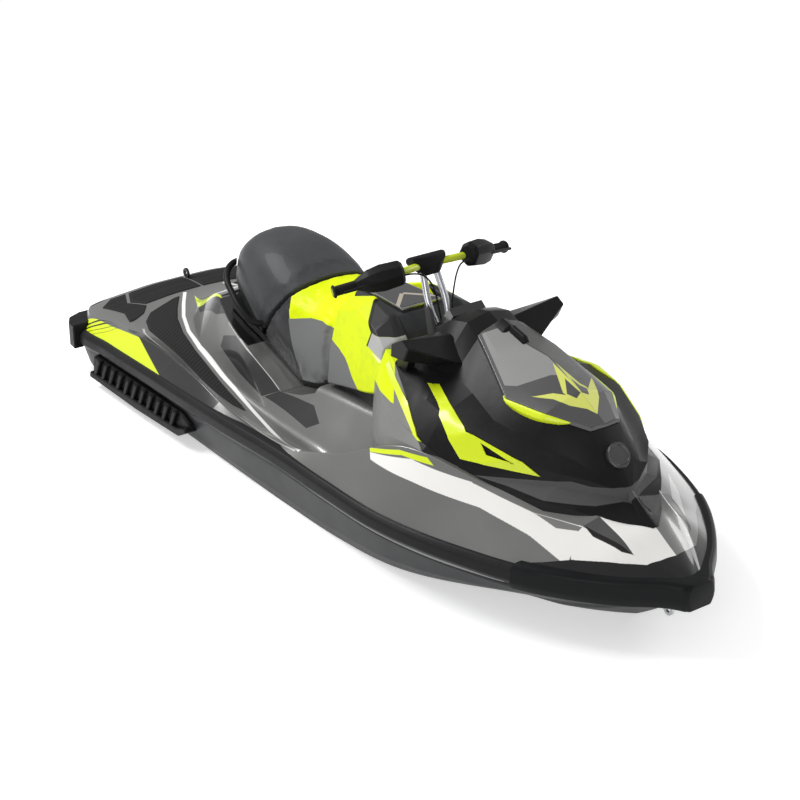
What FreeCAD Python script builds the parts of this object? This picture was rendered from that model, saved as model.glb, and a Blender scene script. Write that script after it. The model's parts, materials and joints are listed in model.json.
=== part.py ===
import FreeCAD, Part
import math
import os
import re

# Personal watercraft in millimetres. Shapes are drawn in the builder's frame, with X forward from
# the stern, Y to port and Z up from the keel, and each finished sub-part is then moved so that the
# origin lies on the centre line, amidships, at the waterline of the empty craft.

Vector = FreeCAD.Vector
PARTS = "parts"

# Driving dimensions: lengths in millimetres, angles in degrees.
SIZES = {
    # whole craft
    "length": 3318, "beam": 1225, "height": 1138, "draught": 185,
    # joint between hull and deck, and the rail that covers it
    "bond_share": 0.3269, "rail_depth": 62, "rail_reach": 28, "side_drop": 85,
    "bumper_share": 0.8656, "bumper_depth": 82,
    "cap_height": 95, "cap_length": 130, "cap_drop": 60,
    # sponsons
    "sponson_start": 250, "sponson_length": 800, "sponson_base_share": 0.1986, "sponson_height": 104,
    "sponson_depth": 103, "sponson_inset": 9.5,
    # engine bay under the seat, and the engine as a plain block
    "bay_share": 0.2893, "bay_length": 500, "bay_width": 400, "bay_floor": 140,
    "engine_length": 420, "engine_width": 320, "engine_gap": 30, "engine_clearance": 15,
    "seat_low_share": 0.44,
    # jet pump
    "notch_length": 325, "notch_width": 400, "notch_roof": 20,
    "pump_height": 160, "pump_radius": 93, "pump_wall": 10, "pump_start": 305, "pump_length": 215,
    "tunnel_length": 400, "tunnel_width": 230, "tunnel_top": 268,
    "impeller_tip_gap": 1.0, "hub_radius": 30, "impeller_start": 405, "impeller_length": 85,
    "blade_count": 4, "blade_thickness": 6, "blade_pitch": 55, "vane_count": 6, "vane_thickness": 5,
    "stator_length": 60, "stator_gap": 6, "shaft_radius": 12.5, "shaft_clearance": 0.05,
    "shaft_start": 375, "shaft_gap": 1,
    "venturi_length": 120, "venturi_tail": 62, "venturi_outlet": 44, "venturi_wall": 8,
    "nozzle_pivot": 190, "nozzle_length": 125, "nozzle_front": 18, "nozzle_inlet": 74,
    "nozzle_outlet": 46, "nozzle_wall": 7, "pin_radius": 6, "pin_clearance": 0.05,
    "gate_pivot": 262, "gate_radius": 224, "gate_wall": 10, "gate_span": 34, "gate_tilt": 19,
    "gate_inner": 118, "gate_boss": 20, "gate_pin": 8,
    "plate_start": 90, "plate_length": 520, "plate_width": 340, "plate_height": 40,
    "plate_thickness": 12, "plate_gap": 0.2,
    "grate_width": 186, "grate_bar": 8, "grate_count": 5, "grate_end": 16,
    "intake_length": 200, "intake_width": 190,
    # seat
    "seat_drop": 60, "pan_thickness": 26, "pan_width": 430, "seat_gap": 0.3,
    "seam_foot_share": 0.3074, "seam_head_share": 0.3767, "seam_low_share": 0.5185,
    "seam_high_share": 0.7909, "seat_split": 2,
    "handle_radius": 13,
    # storage lid and bin
    "lid_thickness": 14, "lid_gap": 1.5,
    "bin_share": 0.7022, "bin_length": 340, "bin_width": 250, "bin_floor_share": 0.4394, "bin_wall": 6,
    "bin_clearance": 0.3, "bin_top_share": 0.6942,
    # console, glove box and gauges
    "glove_share": 0.4702, "glove_length": 200, "glove_width": 130, "glove_floor_share": 0.703,
    "glove_lid_thickness": 9, "glove_lid_border": 22, "glove_lid_gap": 0.6, "glove_front_edge": 16.2,
    "gauge_length": 120, "gauge_width": 150, "gauge_height": 34, "gauge_gap": 0.3,
    # steering
    "column_share": 0.5847, "column_base_share": 0.7487, "column_rake": 24.6, "column_length": 238,
    "collar_radius": 44, "collar_height": 16, "collar_gap": 0.6, "post_radius": 16, "post_length": 46,
    "riser_spread": 56, "riser_radius": 13, "bar_radius": 11, "grip_radius": 17, "grip_length": 125,
    "flange_radius": 24, "grip_flange": 6, "bar_drop": 13,
    "pad_length": 150, "pad_width": 78, "pad_height": 46, "pad_chamfer": 14,
    "housing_length": 86, "housing_width": 62, "housing_height": 52, "housing_chamfer": 11.5,
    "lever_radius": 5.5, "cable_radius": 3.2,
    # mats
    "mat_thickness": 6,
    # trim on the fairing and the lid
    "fairing_blade_width": 24, "fairing_blade_height": 44, "lip_width": 16, "lip_height": 7,
    "lip_overhang": 2,
    "hinge_pin": 3, "hinge_knuckle": 6, "hinge_room": 10, "hinge_half": 30, "hinge_seat": 8,
    "latch_length": 70, "latch_width": 56, "latch_height": 18,
    # fittings
    "eye_radius": 22, "eye_hole": 11, "eye_thickness": 10, "bow_eye_share": 0.9563,
    "bow_eye_height_share": 0.24165, "tow_eye_station": 60, "tow_eye_height_share": 0.442,
    "plug_radius": 16, "plug_depth": 10, "plug_spacing": 520, "plug_height_share": 0.2285,
    # one overrun serves all cuts
    "overrun": 400,
}

doc = FreeCAD.newDocument("Watercraft")
sheet = doc.addObject("Spreadsheet::Sheet", "Sizes")
for row, (alias, value) in enumerate(SIZES.items(), 1):
    sheet.set(f"A{row}", alias)
    sheet.set(f"B{row}", str(value))
    sheet.setAlias(f"B{row}", alias)
doc.recompute()

nodes = []
places = {}


def size(alias):
    """Value of a named size in the sheet."""
    return float(sheet.get(alias))


LENGTH = size("length")
HALF_BEAM = size("beam") / 2
HEIGHT = size("height")
BOND = HEIGHT * size("bond_share")
OVERRUN = size("overrun")


def bound(text):
    """Expression text in which each named size points at its cell."""
    return re.sub(r"[a-z]\w*", lambda word: "Sizes." + word[0] if word[0] in SIZES else word[0], text)


def finish(solid, label):
    """Names a finished sub-part and moves its origin to the waterline amidships."""
    solid.Label = label
    x, y, z = places.get(solid.Name, ("0", "0", "0"))
    solid.setExpression("Placement.Base.x", bound(f"{x} - length / 2"))
    solid.setExpression("Placement.Base.y", bound(y))
    solid.setExpression("Placement.Base.z", bound(f"{z} - draught"))
    nodes.append(solid)
    return solid


def primitive(kind, name, place, turn=None, **sizes):
    """A primitive with its sizes and its place bound to the sheet; turn is an axis and degrees."""
    solid = doc.addObject("Part::" + kind, name)
    for field, text in sizes.items():
        solid.setExpression(field, bound(str(text)))
    if turn:
        solid.Placement = FreeCAD.Placement(Vector(), FreeCAD.Rotation(Vector(*turn[0]), turn[1]))
    for axis, text in zip("xyz", place):
        solid.setExpression("Placement.Base." + axis, bound(text))
    places[solid.Name] = place
    return solid


def cylinder(name, place, radius, length, axis="z", **more):
    """A cylinder that runs from its place along X, Y or Z."""
    turns = {"x": ((0, 1, 0), 90), "y": ((1, 0, 0), -90), "z": None}
    return primitive("Cylinder", name, place, turns[axis], Radius=radius, Height=length, **more)


def cone(name, place, start, end, length):
    """A cone that runs from its place along X."""
    return primitive("Cone", name, place, ((0, 1, 0), 90), Radius1=start, Radius2=end, Height=length)


def box(name, place, length, width, height, turn=None):
    """A box from its low corner."""
    return primitive("Box", name, place, turn, Length=length, Width=width, Height=height)


def fuse(name, shapes):
    """Union of several solids."""
    joined = doc.addObject("Part::MultiFuse", name)
    joined.Shapes = shapes
    return joined


def cut(name, base, tool):
    """The base without the tool."""
    rest = doc.addObject("Part::Cut", name)
    rest.Base = base
    rest.Tool = tool
    return rest


def common(name, shapes):
    """What several solids share."""
    shared = doc.addObject("Part::MultiCommon", name)
    shared.Shapes = shapes
    return shared


def form(name, shape):
    """A worked-out shape in the builder's frame."""
    solid = doc.addObject("Part::Feature", name)
    solid.Shape = shape
    return solid


def pair(name, solid):
    """A starboard copy beside a port solid."""
    mirror = doc.addObject("Part::Mirroring", name + "Mirror")
    mirror.Source = solid
    mirror.Normal = (0, 1, 0)
    both = doc.addObject("Part::Compound", name)
    both.Links = [solid, mirror]
    return both


# Geometry helpers

def across(x, half):
    """Closed section across the boat, from its half outline."""
    port = [Vector(x, y, z) for y, z in half]
    starboard = [Vector(x, -y, z) for y, z in reversed(half) if y > 0]
    return Part.makePolygon(port + starboard + [port[0]])


def side_section(x, outline):
    """Closed section on one side of the boat."""
    points = [Vector(x, y, z) for y, z in outline]
    return Part.makePolygon(points + [points[0]])


def loft(wires, ruled=False):
    """Solid through closed sections."""
    return Part.makeLoft(wires, True, ruled)


def mirrored(shape):
    """The shape and its starboard twin."""
    return Part.makeCompound([shape, shape.mirror(Vector(), Vector(0, 1, 0))])


def prism(points, direction):
    """Solid made by moving a closed polygon along a direction."""
    corners = [Vector(*point) for point in points]
    return Part.Face(Part.makePolygon(corners + [corners[0]])).extrude(direction)


def rounded_path(points, bend_share=0.45):
    """Straight runs joined by tangent arcs, each as large as its shorter run allows."""
    corners = [Vector(*point) for point in points]
    edges, start = [], corners[0]
    for before, corner, after in zip(corners, corners[1:], corners[2:]):
        back, ahead = (before - corner), (after - corner)
        reach = bend_share * min(back.Length, ahead.Length)
        back.normalize()
        ahead.normalize()
        first, last = corner + back * reach, corner + ahead * reach
        half_angle = back.getAngle(ahead) / 2
        middle = (back + ahead).normalize()
        apex = corner + middle * (reach / math.cos(half_angle) - reach * math.tan(half_angle))
        edges += [Part.LineSegment(start, first).toShape(), Part.Arc(first, apex, last).toShape()]
        start = last
    edges.append(Part.LineSegment(start, corners[-1]).toShape())
    return Part.Wire(edges)


def tube(points, radius):
    """Round bar along straight runs and tangent arcs."""
    path = rounded_path(points)
    start = Vector(*points[0])
    heading = Vector(*points[1]) - start
    ring = Part.Wire(Part.makeCircle(radius, start, heading))
    return path.makePipeShell([ring], True, False)


def scaled(x_shares, *lines):
    """Stations and lines of a form, from shares of the length, the half beam and the height."""
    stations = [share * LENGTH for share in x_shares]
    return stations, [[(y * HALF_BEAM, z * HEIGHT) for y, z in line] for line in lines]


# Lines of hull and deck: one entry for each station, as shares of length, half beam and height.
station_shares = (0, .025, .10, .20, .30, .40, .50, .60, .70, .80, .90, .93, .95, .985)
rail_shares = ((.80, .340), (.875, .341), (.895, .347), (.906, .356), (.927, .369), (.944, .382),
               (.939, .391), (.952, .395), (.939, .395), (.82, .395), (.563, .387), (.436, .385),
               (.335, .384), (.11, .382))
keel_shares = (0, 0, 0, 0, 0, 0, 0, 0, .009, .05, .145, .202, .245, .315)
chine_shares = ((.70, .16), (.78, .16), (.80, .16), (.81, .158), (.82, .156), (.82, .15), (.82, .143),
                (.815, .15), (.79, .178), (.68, .235), (.43, .288), (.316, .299), (.23, .305),
                (.06, .3175))
strake_shares = ((.48, .44), (.55, .57))
side_shares = ((.27, .125), (.60, .375))
crown_shares = (.417, .426, .44, .58, .545, .483, .51, .545, .598, .556, .507, .487, .4525, .397)
top_edge_shares = ((.196, .4165), (.196, .425), (.196, .435), (.327, .567), (.457, .536), (.44, .479),
                   (.44, .50), (.44, .527), (.408, .595), (.245, .555), (.082, .507), (.06, .486),
                   (.05, .4517), (.02, .396))
pedestal_shares = ((.278, .415), (.278, .422), (.294, .417), (.49, .387), (.563, .347), (.612, .334),
                   (.653, .350), (.669, .360), (.62, .591), (.408, .552), (.13, .506), (.095, .484),
                   (.082, .45), (.033, .395))
floor_shares = ((.588, .40), (.62, .404), (.637, .395), (.653, .378), (.751, .346), (.767, .341),
                (.735, .350), (.735, .366), (.702, .590), (.473, .549), (.163, .505), (.13, .48),
                (.114, .446), (.046, .3945))
gunwale_shares = ((.686, .395), (.735, .40), (.751, .406), (.767, .413), (.80, .404), (.841, .378),
                  (.841, .387), (.824, .466), (.743, .598), (.522, .548), (.196, .505), (.17, .477),
                  (.147, .443), (.059, .394))
ridge_shares = ((.751, .387), (.808, .391), (.824, .413), (.824, .438), (.849, .427), (.882, .395),
                (.89, .397), (.857, .479), (.756, .600), (.547, .547), (.22, .506), (.205, .473),
                (.18, .438), (.072, .392))

stations, (rail, chine, top_edge, pedestal, floor, gunwale, ridge) = scaled(
    station_shares, rail_shares, chine_shares, top_edge_shares, pedestal_shares, floor_shares,
    gunwale_shares, ridge_shares)


def between(low, high, shares):
    """Point between two points, by a share across and a share up."""
    return tuple(a + (b - a) * share for a, b, share in zip(low, high, shares))


def body_section(k):
    """Half section of the body: bottom, side and rail line, then the gunwale, footwell and crown."""
    base = (0, keel_shares[k] * HEIGHT)
    shoulder = (rail[k][0], rail[k][1] - size("side_drop"))
    bottom = [base] + [between(base, chine[k], shares) for shares in strake_shares] + [chine[k]]
    side = [between(chine[k], shoulder, shares) for shares in side_shares] + [shoulder, rail[k]]
    top = [ridge[k], gunwale[k], floor[k], pedestal[k], top_edge[k], (0, crown_shares[k] * HEIGHT)]
    return across(stations[k], bottom + side + top)


# Hull and deck are one body parted at the bond
body_form = form("BodyForm", loft([body_section(k) for k in range(len(stations))]))
below_bond = box("BelowBond", ("-overrun", "-beam", "-overrun"), "length + 2 * overrun", "2 * beam",
                 "overrun + height * bond_share")
above_bond = box("AboveBond", ("-overrun", "-beam", "height * bond_share"), "length + 2 * overrun",
                 "2 * beam", "height")
hull_form = common("HullForm", [body_form, below_bond])
deck_form = common("DeckForm", [body_form, above_bond])

# Seat seam, and the line on which the seat stands, as shares of length and height
seat_line_shares = ((.205, .590), (.300, .530), (.360, .472), (.395, .440), (.430, .462), (.452, .490))
seat_line = [(x * LENGTH, z * HEIGHT) for x, z in seat_line_shares]


def seat_block(drop, half_width):
    """Block under the seat line, lowered by a drop."""
    top = [(x, -half_width, z - drop) for x, z in seat_line]
    foot = [(x, -half_width, BOND - OVERRUN) for x, z in (seat_line[-1], seat_line[0])]
    return prism(top + foot, Vector(0, 2 * half_width, 0))


def above_seat_line(drop, half_width):
    """Space above the seat line, lowered by a drop."""
    low = [(x, -half_width, z - drop) for x, z in seat_line]
    head = [(x, -half_width, HEIGHT + OVERRUN) for x, z in (seat_line[-1], seat_line[0])]
    return prism(low + head, Vector(0, 2 * half_width, 0))


PAN = size("pan_thickness")
seat_space = form("SeatSpace", above_seat_line(PAN + size("seat_gap"), HALF_BEAM))

# Lower hull: the bay for the engine, the pump's tunnel, intake and notch are cut from below
bay = box("Bay", ("length * bay_share", "-bay_width / 2", "bay_floor"), "bay_length", "bay_width", "height")
notch = box("Notch", ("-overrun", "-notch_width / 2", "-overrun"), "overrun + notch_length",
            "notch_width", "overrun + height * bond_share - notch_roof")
tunnel = box("Tunnel", ("notch_length - pan_thickness", "-tunnel_width / 2", "-overrun"),
             "tunnel_length + pan_thickness", "tunnel_width", "overrun + tunnel_top")
intake = box("Intake", ("notch_length + tunnel_length - pan_thickness", "-intake_width / 2", "-overrun"),
             "intake_length + pan_thickness", "intake_width", "overrun + pump_height + pump_radius")
shaft_bore = cylinder("ShaftBore", ("shaft_start", "0", "pump_height"),
                      "shaft_radius + shaft_clearance",
                      "length * bay_share - shaft_start + engine_gap / 2", "x")
plug_holes = [cylinder("PlugHole" + hand, ("-plug_depth", side + "plug_spacing / 2",
                                            "height * plug_height_share"), "plug_radius",
                       "2 * plug_depth", "x") for hand, side in (("P", ""), ("S", "-"))]
finish(cut("Hull", hull_form, fuse("HullCuts", [bay, notch, tunnel, intake, shaft_bore] + plug_holes)),
       "lower_hull")

# Upper deck: open over the engine, under the storage lid and along the seat
bin_well = box("BinWell", ("length * bin_share - bin_clearance", "-bin_width / 2 - bin_clearance",
                           "height * bin_floor_share - bin_clearance"), "bin_length + 2 * bin_clearance",
               "bin_width + 2 * bin_clearance", "height")
deck_bay = box("DeckBay", ("length * bay_share", "-bay_width / 2", "bay_floor"), "bay_length",
               "bay_width", "height")
finish(cut("Deck", deck_form, fuse("DeckCuts", [deck_bay, bin_well, seat_space])), "upper_deck")

# Engine: one plain block on the floor of its bay
finish(box("Engine", ("length * bay_share + engine_gap", "-engine_width / 2", "bay_floor"),
           "engine_length", "engine_width",
           "height * seat_low_share - pan_thickness - bay_floor - engine_clearance"), "engine_block")


# Rail, bumper and stern caps hug the joint of hull and deck
# Outlines of rail and bumper, as shares of their reach and their depth
rail_outline_shares = ((-1, -1), (.5, -1), (1, -.7), (.85, -.19), (.25, .1), (-1, .1))
bumper_outline_shares = ((.5, -1), (1, -.62), (.8, .04), (.2, .195))


def rail_section(k):
    """Section of the rail on one side, reaching into the hull, which is cut away later."""
    y, z = rail[k]
    return side_section(stations[k], [(y + out * size("rail_reach"), z + up * size("rail_depth"))
                                      for out, up in rail_outline_shares])


rail_bar = form("RailBar", mirrored(loft([rail_section(k) for k in range(1, 11)])))
rail_limit = box("RailLimit", ("cap_length", "-beam", "0"), "length * bumper_share - cap_length",
                 "2 * beam", "height")
finish(cut("Rails", common("RailLength", [rail_bar, rail_limit]), body_form), "rub_rails")

bumper_shares = (.80, .90, .95, .985, 1.0)
bumper_width_shares = (.82, .563, .335, .125, .06)
bumper_height_shares = (.395, .387, .384, .383, .378)


def bumper_section(x, y, z):
    """Section of the block that the bow bumper is cut from."""
    outline = [(y + out * size("rail_reach"), z + up * size("bumper_depth"))
               for out, up in bumper_outline_shares]
    return across(x, [(0, outline[0][1])] + outline + [(0, outline[-1][1])])


bumper_wires = [bumper_section(x * LENGTH, y * HALF_BEAM, z * HEIGHT) for x, y, z
                in zip(bumper_shares, bumper_width_shares, bumper_height_shares)]
bumper_block = form("BumperBlock", loft(bumper_wires))
bumper_limit = box("BumperLimit", ("length * bumper_share", "-beam", "0"), "length", "2 * beam", "height")
finish(cut("Bumper", common("BumperLength", [bumper_block, bumper_limit]), body_form), "bow_bumper")

cap_plan_shares = ((0, .74), (0, .80), (.22, .90), (.60, .958), (1, .975), (1, .88), (.4, .80))
cap_points = [(x * size("cap_length"), y * HALF_BEAM, BOND - size("cap_drop")) for x, y in cap_plan_shares]
cap_block = form("CapBlock", mirrored(prism(cap_points, Vector(0, 0, size("cap_height")))))
finish(cut("Caps", cap_block, body_form), "stern_caps")

# Sponsons: a bar with a tapered nose on each side of the hull, with slanted fins
sponson_shares = ((0, .08), (.015, .95), (.93, 1), (1, .72), (1, .38), (.90, .12), (.5, 0))
sponson_outer = HALF_BEAM - size("sponson_inset")
sponson_points = [(size("sponson_start") + x * size("sponson_length"), sponson_outer,
                   HEIGHT * size("sponson_base_share") + z * size("sponson_height"))
                  for x, z in sponson_shares]
sponson_block = form("SponsonBlock", mirrored(prism(sponson_points, Vector(0, -size("sponson_depth"), 0))))
finish(cut("Sponsons", sponson_block, body_form), "sponsons")


# Mats: thin pads that follow the deck
def plan_prisms(outlines):
    """Upright prisms, port and starboard, over outlines given as shares of length and half beam."""
    solids = []
    for outline in outlines:
        points = [(x * LENGTH, y * HALF_BEAM, BOND) for x, y in outline]
        solids.append(prism(points, Vector(0, 0, HEIGHT)))
    return Part.makeCompound(solids + [solid.mirror(Vector(), Vector(0, 1, 0)) for solid in solids])


def mats(name, outlines, label):
    """Pads of even thickness on the deck, inside the outlines."""
    raised = doc.addObject("Part::Feature", name + "Raised")
    raised.Shape = body_form.Shape
    raised.setExpression("Placement.Base.z", bound("mat_thickness"))
    region = form(name + "Region", plan_prisms(outlines))
    finish(cut(name, common(name + "Layer", [raised, region]), body_form), label)


platform_shares = (((.012, .02), (.086, .02), (.080, .235), (.012, .235)),
                   ((.012, .265), (.078, .265), (.070, .56), (.012, .58)))
leaf_shares = (((.098, .33), (.150, .44), (.200, .53), (.300, .60), (.350, .645), (.365, .70),
                (.340, .735), (.280, .715), (.200, .645), (.140, .63), (.092, .60)),)
mats("PlatformMats", platform_shares, "platform_mats")
mats("FootwellMats", leaf_shares, "footwell_mats")


def hinge(name, x, z, carrier, leaf):
    """Carrier with a pin across a groove, and leaf with a knuckle on that pin."""
    reach, room, pin = size("hinge_half"), size("hinge_room"), size("hinge_pin")
    grip = size("hinge_seat")

    def barrel(radius, half):
        return Part.makeCylinder(radius, 2 * half, Vector(x, -half, z), Vector(0, 1, 0))

    groove = form(name + "Groove", barrel(room, reach + grip))
    rod = form(name + "Rod", barrel(pin, reach + 2 * grip))
    knuckle = form(name + "Knuckle", barrel(size("hinge_knuckle"), reach))
    bore = form(name + "Bore", barrel(pin + size("pin_clearance"), reach + 3 * grip))
    held = fuse(name + "Carrier", [cut(name + "Grooved", carrier, groove), rod])
    swung = cut(name + "Leaf", fuse(name + "Swung", [leaf, knuckle]), bore)
    return held, swung


# Front fairing and storage lid share their stations: ridge, lid edge, shoulder, rim, chin and foot
fairing_stations = (.575, .600, .635, .680, .720, .760, .810, .850, .875, .893, .915, .931)
ridge_line_shares = (.730, .765, .890, .900, .868, .857, .795, .730, .638, .560, .520, .4905)
lid_edge_shares = ((.23, .732), (.24, .762), (.23, .845), (.165, .868), (.238, .822), (.305, .762),
                   (.24, .756), (.105, .732), (.095, .631), (.012, .558), (.006, .518), (.003, .490))
shoulder_shares = ((.40, .745), (.437, .731), (.478, .714), (.531, .70), (.57, .703), (.545, .682),
                   (.456, .645), (.335, .620), (.205, .602), (.020, .556), (.012, .514), (.006, .489))
rim_shares = ((.473, .668), (.543, .652), (.612, .641), (.673, .634), (.685, .625), (.625, .570),
              (.475, .575), (.333, .597), (.203, .592), (.022, .555), (.03, .512), (.008, .489))
chin_shares = ((.48, .65), (.566, .614), (.665, .595), (.735, .60), (.722, .603), (.637, .562),
               (.519, .541), (.428, .542), (.32, .524), (.225, .509), (.122, .502), (.02, .4885))
foot_shares = ((.50, .53), (.60, .53), (.70, .53), (.755, .545), (.715, .57), (.630, .53), (.512, .51),
               (.42, .50), (.313, .48), (.218, .47), (.115, .465), (.015, .455))
fairing_low_shares = (.50, .48, .42, .40, .40, .40, .40, .40, .40, .40, .40, .40)
lid_rows = range(3, 8)

fairing_x, (lid_edge, shoulder, rim, chin, foot) = scaled(
    fairing_stations, lid_edge_shares, shoulder_shares, rim_shares, chin_shares, foot_shares)
LID_SPACE = size("lid_thickness") + size("lid_gap")


def fairing_section(k):
    """Section of the fairing, lower where the storage lid covers it."""
    sink = LID_SPACE if k in lid_rows else 0
    low = fairing_low_shares[k] * HEIGHT
    edge_y, edge_z = lid_edge[k]
    return across(fairing_x[k], [(0, low), (foot[k][0], low), foot[k], chin[k], rim[k], shoulder[k],
                                 (edge_y, edge_z - sink), (0, ridge_line_shares[k] * HEIGHT - sink)])


def lid_section(k):
    """Section of the storage lid: a folded sheet with the ridge in the middle."""
    top = ridge_line_shares[k] * HEIGHT
    edge_y, edge_z = lid_edge[k]
    thickness = size("lid_thickness")
    return across(fairing_x[k], [(0, top - thickness), (edge_y, edge_z - thickness), (edge_y, edge_z),
                                 (0, top)])


fairing_form = form("FairingForm", loft([fairing_section(k) for k in range(len(fairing_x))], True))
fairing_well = box("FairingWell", ("length * bin_share - bin_clearance", "-bin_width / 2 - bin_clearance",
                                   "0"), "bin_length + 2 * bin_clearance",
                   "bin_width + 2 * bin_clearance", "height")
lid_form = form("LidForm", loft([lid_section(k) for k in lid_rows], True))
lid_hinge_drop = size("lid_thickness") * 4 / 3
fairing_held, lid_swung = hinge("LidHinge", fairing_x[lid_rows[-1]] + size("lid_gap"),
                                ridge_line_shares[lid_rows[-1]] * HEIGHT - lid_hinge_drop,
                                fairing_form, lid_form)
rake = math.radians(size("column_rake"))
column_axis = Vector(-math.sin(rake), 0, math.cos(rake))
column_across = Vector(math.cos(rake), 0, math.sin(rake))
column_start = Vector(LENGTH * size("column_share"), 0, HEIGHT * size("column_base_share"))
post_hole = form("PostHole", Part.makeCylinder(
    size("post_radius") + size("shaft_clearance"), size("post_length") + size("collar_height"),
    column_start - column_axis * size("post_length"), column_axis))
finish(cut("Fairing", fairing_held, fuse("FairingCuts", [body_form, fairing_well, post_hole])),
       "front_fairing")
finish(lid_swung, "storage_lid")

# Storage bin: an open tub below the lid
tub = box("Tub", ("length * bin_share", "-bin_width / 2", "height * bin_floor_share"), "bin_length",
          "bin_width", "height * (bin_top_share - bin_floor_share)")
tub_hollow = box("TubHollow", ("length * bin_share + bin_wall", "-bin_width / 2 + bin_wall",
                               "height * bin_floor_share + bin_wall"), "bin_length - 2 * bin_wall",
                 "bin_width - 2 * bin_wall", "height")
finish(cut("Bin", tub, tub_hollow), "storage_bin")

# Seat: one padded form split along a slanted seam, on a pan that tilts with it
seat_stations = (.211, .241, .286, .347, .392, .428, .452)
seat_low_shares = ((.21, .585), (.29, .570), (.345, .55), (.37, .50), (.385, .44), (.385, .457),
                   (.375, .479))
seat_side_shares = ((.23, .633), (.31, .650), (.37, .65), (.385, .615), (.37, .58), (.345, .598),
                    (.33, .615))
seat_shoulder_shares = ((.195, .73), (.27, .765), (.31, .773), (.32, .738), (.28, .703), (.255, .72),
                        (.245, .747))
seat_top_shares = ((.115, .76), (.145, .817), (.18, .826), (.18, .782), (.147, .738), (.14, .76),
                   (.13, .782))
seat_crown_shares = (.764, .826, .835, .791, .747, .766, .791)
seat_x, (seat_low, seat_side, seat_shoulder, seat_top) = scaled(
    seat_stations, seat_low_shares, seat_side_shares, seat_shoulder_shares, seat_top_shares)


def seat_section(k):
    """Section of the padded seat, drawn lower than the pan that trims it."""
    drop = size("seat_drop")
    low = (seat_low[k][0], seat_low[k][1] - drop)
    return across(seat_x[k], [low, seat_side[k], seat_shoulder[k], seat_top[k],
                              (0, seat_crown_shares[k] * HEIGHT)])


seat_form = loft([seat_section(k) for k in range(len(seat_x))])
cushion = seat_form.common(above_seat_line(0, HALF_BEAM))
seam_foot, seam_head = (LENGTH * size(name) for name in ("seam_foot_share", "seam_head_share"))
seam_low, seam_high = (HEIGHT * size(name) for name in ("seam_low_share", "seam_high_share"))
seam_slope = (seam_head - seam_foot) / (seam_high - seam_low)


def seam_side(shift, far):
    """Block on one side of the slanted seam between the two seats."""
    low, high = BOND - OVERRUN, HEIGHT + OVERRUN
    foot_x = seam_foot + (low - seam_low) * seam_slope + shift
    head_x = seam_foot + (high - seam_low) * seam_slope + shift
    points = [(foot_x, -HALF_BEAM, low), (head_x, -HALF_BEAM, high), (far, -HALF_BEAM, high),
              (far, -HALF_BEAM, low)]
    return prism(points, Vector(0, 2 * HALF_BEAM, 0))


cushion_form = form("CushionForm", cushion)
finish(form("SeatRear", cushion.common(seam_side(-size("seat_split") / 2, -LENGTH))), "seat_rear")
finish(form("SeatFront", cushion.common(seam_side(size("seat_split") / 2, LENGTH))), "seat_front")
pan_block = seat_block(0, size("pan_width") / 2).cut(seat_block(PAN, HALF_BEAM))
pan_nose_shares = ((.205, .12), (.235, .33), (.30, .36), (.452, .36))
pan_plan = [(x * LENGTH, y * HALF_BEAM, 0) for x, y in pan_nose_shares]
pan_plan += [(x, -y, z) for x, y, z in reversed(pan_plan)]
pan_shape = pan_block.common(prism(pan_plan, Vector(0, 0, HEIGHT)))
finish(form("Pan", pan_shape), "seat_pan")

# Grab handles: a tube along each side of the rear seat
handle_shares = ((.222, .17, .705), (.226, .31, .705), (.245, .41, .676), (.285, .45, .615),
                 (.309, .43, .570), (.320, .31, .565))
handle_points = [(x * LENGTH, y * HALF_BEAM, z * HEIGHT) for x, y, z in handle_shares]
handle_form = form("HandleForm", mirrored(tube(handle_points, size("handle_radius"))))
finish(cut("Handles", handle_form, fuse("HandleCuts", [cushion_form, form("PanForm", pan_shape)])),
       "grab_handles")

# Console in front of the saddle, with the glove box in it and padded knee bolsters beside it: its flat
# top ends ahead of the glove box lid's hinge
border = size("glove_lid_border")
lid_back = LENGTH * size("glove_share") - border
lid_front = LENGTH * size("glove_share") + size("glove_length") + border
flat_end = lid_front + size("hinge_room") + size("glove_front_edge")
console_stations = (.4555, .50, flat_end / LENGTH, .568)
console_low_shares = ((.33, .47), (.36, .48), (.40, .50), (.42, .51))
console_side_shares = ((.28, .66), (.29, .70), (.36, .715), (.38, .72))
console_top_shares = ((.16, .804), (.17, .804), (.20, .804), (.23, .738))
console_crown_shares = (.804, .804, .804, .738)
console_x, (console_low, console_side, console_top) = scaled(
    console_stations, console_low_shares, console_side_shares, console_top_shares)
console_wires = [across(x, [low, side, top, (0, crown * HEIGHT)]) for x, low, side, top, crown in
                 zip(console_x, console_low, console_side, console_top, console_crown_shares)]
console_form = form("ConsoleForm", loft(console_wires, True))
glove_well = box("GloveWell", ("length * glove_share", "-glove_width / 2", "height * glove_floor_share"),
                 "glove_length", "glove_width", "height")

bolster_stations = (.458, .50, .545, .572)
bolster_shares = (((.10, .50), (.395, .50), (.375, .62), (.31, .76), (.20, .79), (.175, .79)),
                  ((.10, .51), (.425, .535), (.375, .66), (.32, .80), (.215, .832), (.185, .832)),
                  ((.10, .52), (.44, .565), (.41, .68), (.37, .775), (.25, .812), (.20, .812)),
                  ((.10, .53), (.45, .59), (.43, .69), (.41, .74), (.30, .757), (.23, .757)))
bolster_wires = [side_section(x * LENGTH, [(y * HALF_BEAM, z * HEIGHT) for y, z in outline])
                 for x, outline in zip(bolster_stations, bolster_shares)]
bolster_form = form("BolsterForm", mirrored(loft(bolster_wires, True)))
finish(cut("Bolsters", bolster_form, fuse("BolsterCuts", [console_form, body_form, fairing_form])),
       "knee_bolsters")


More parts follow.
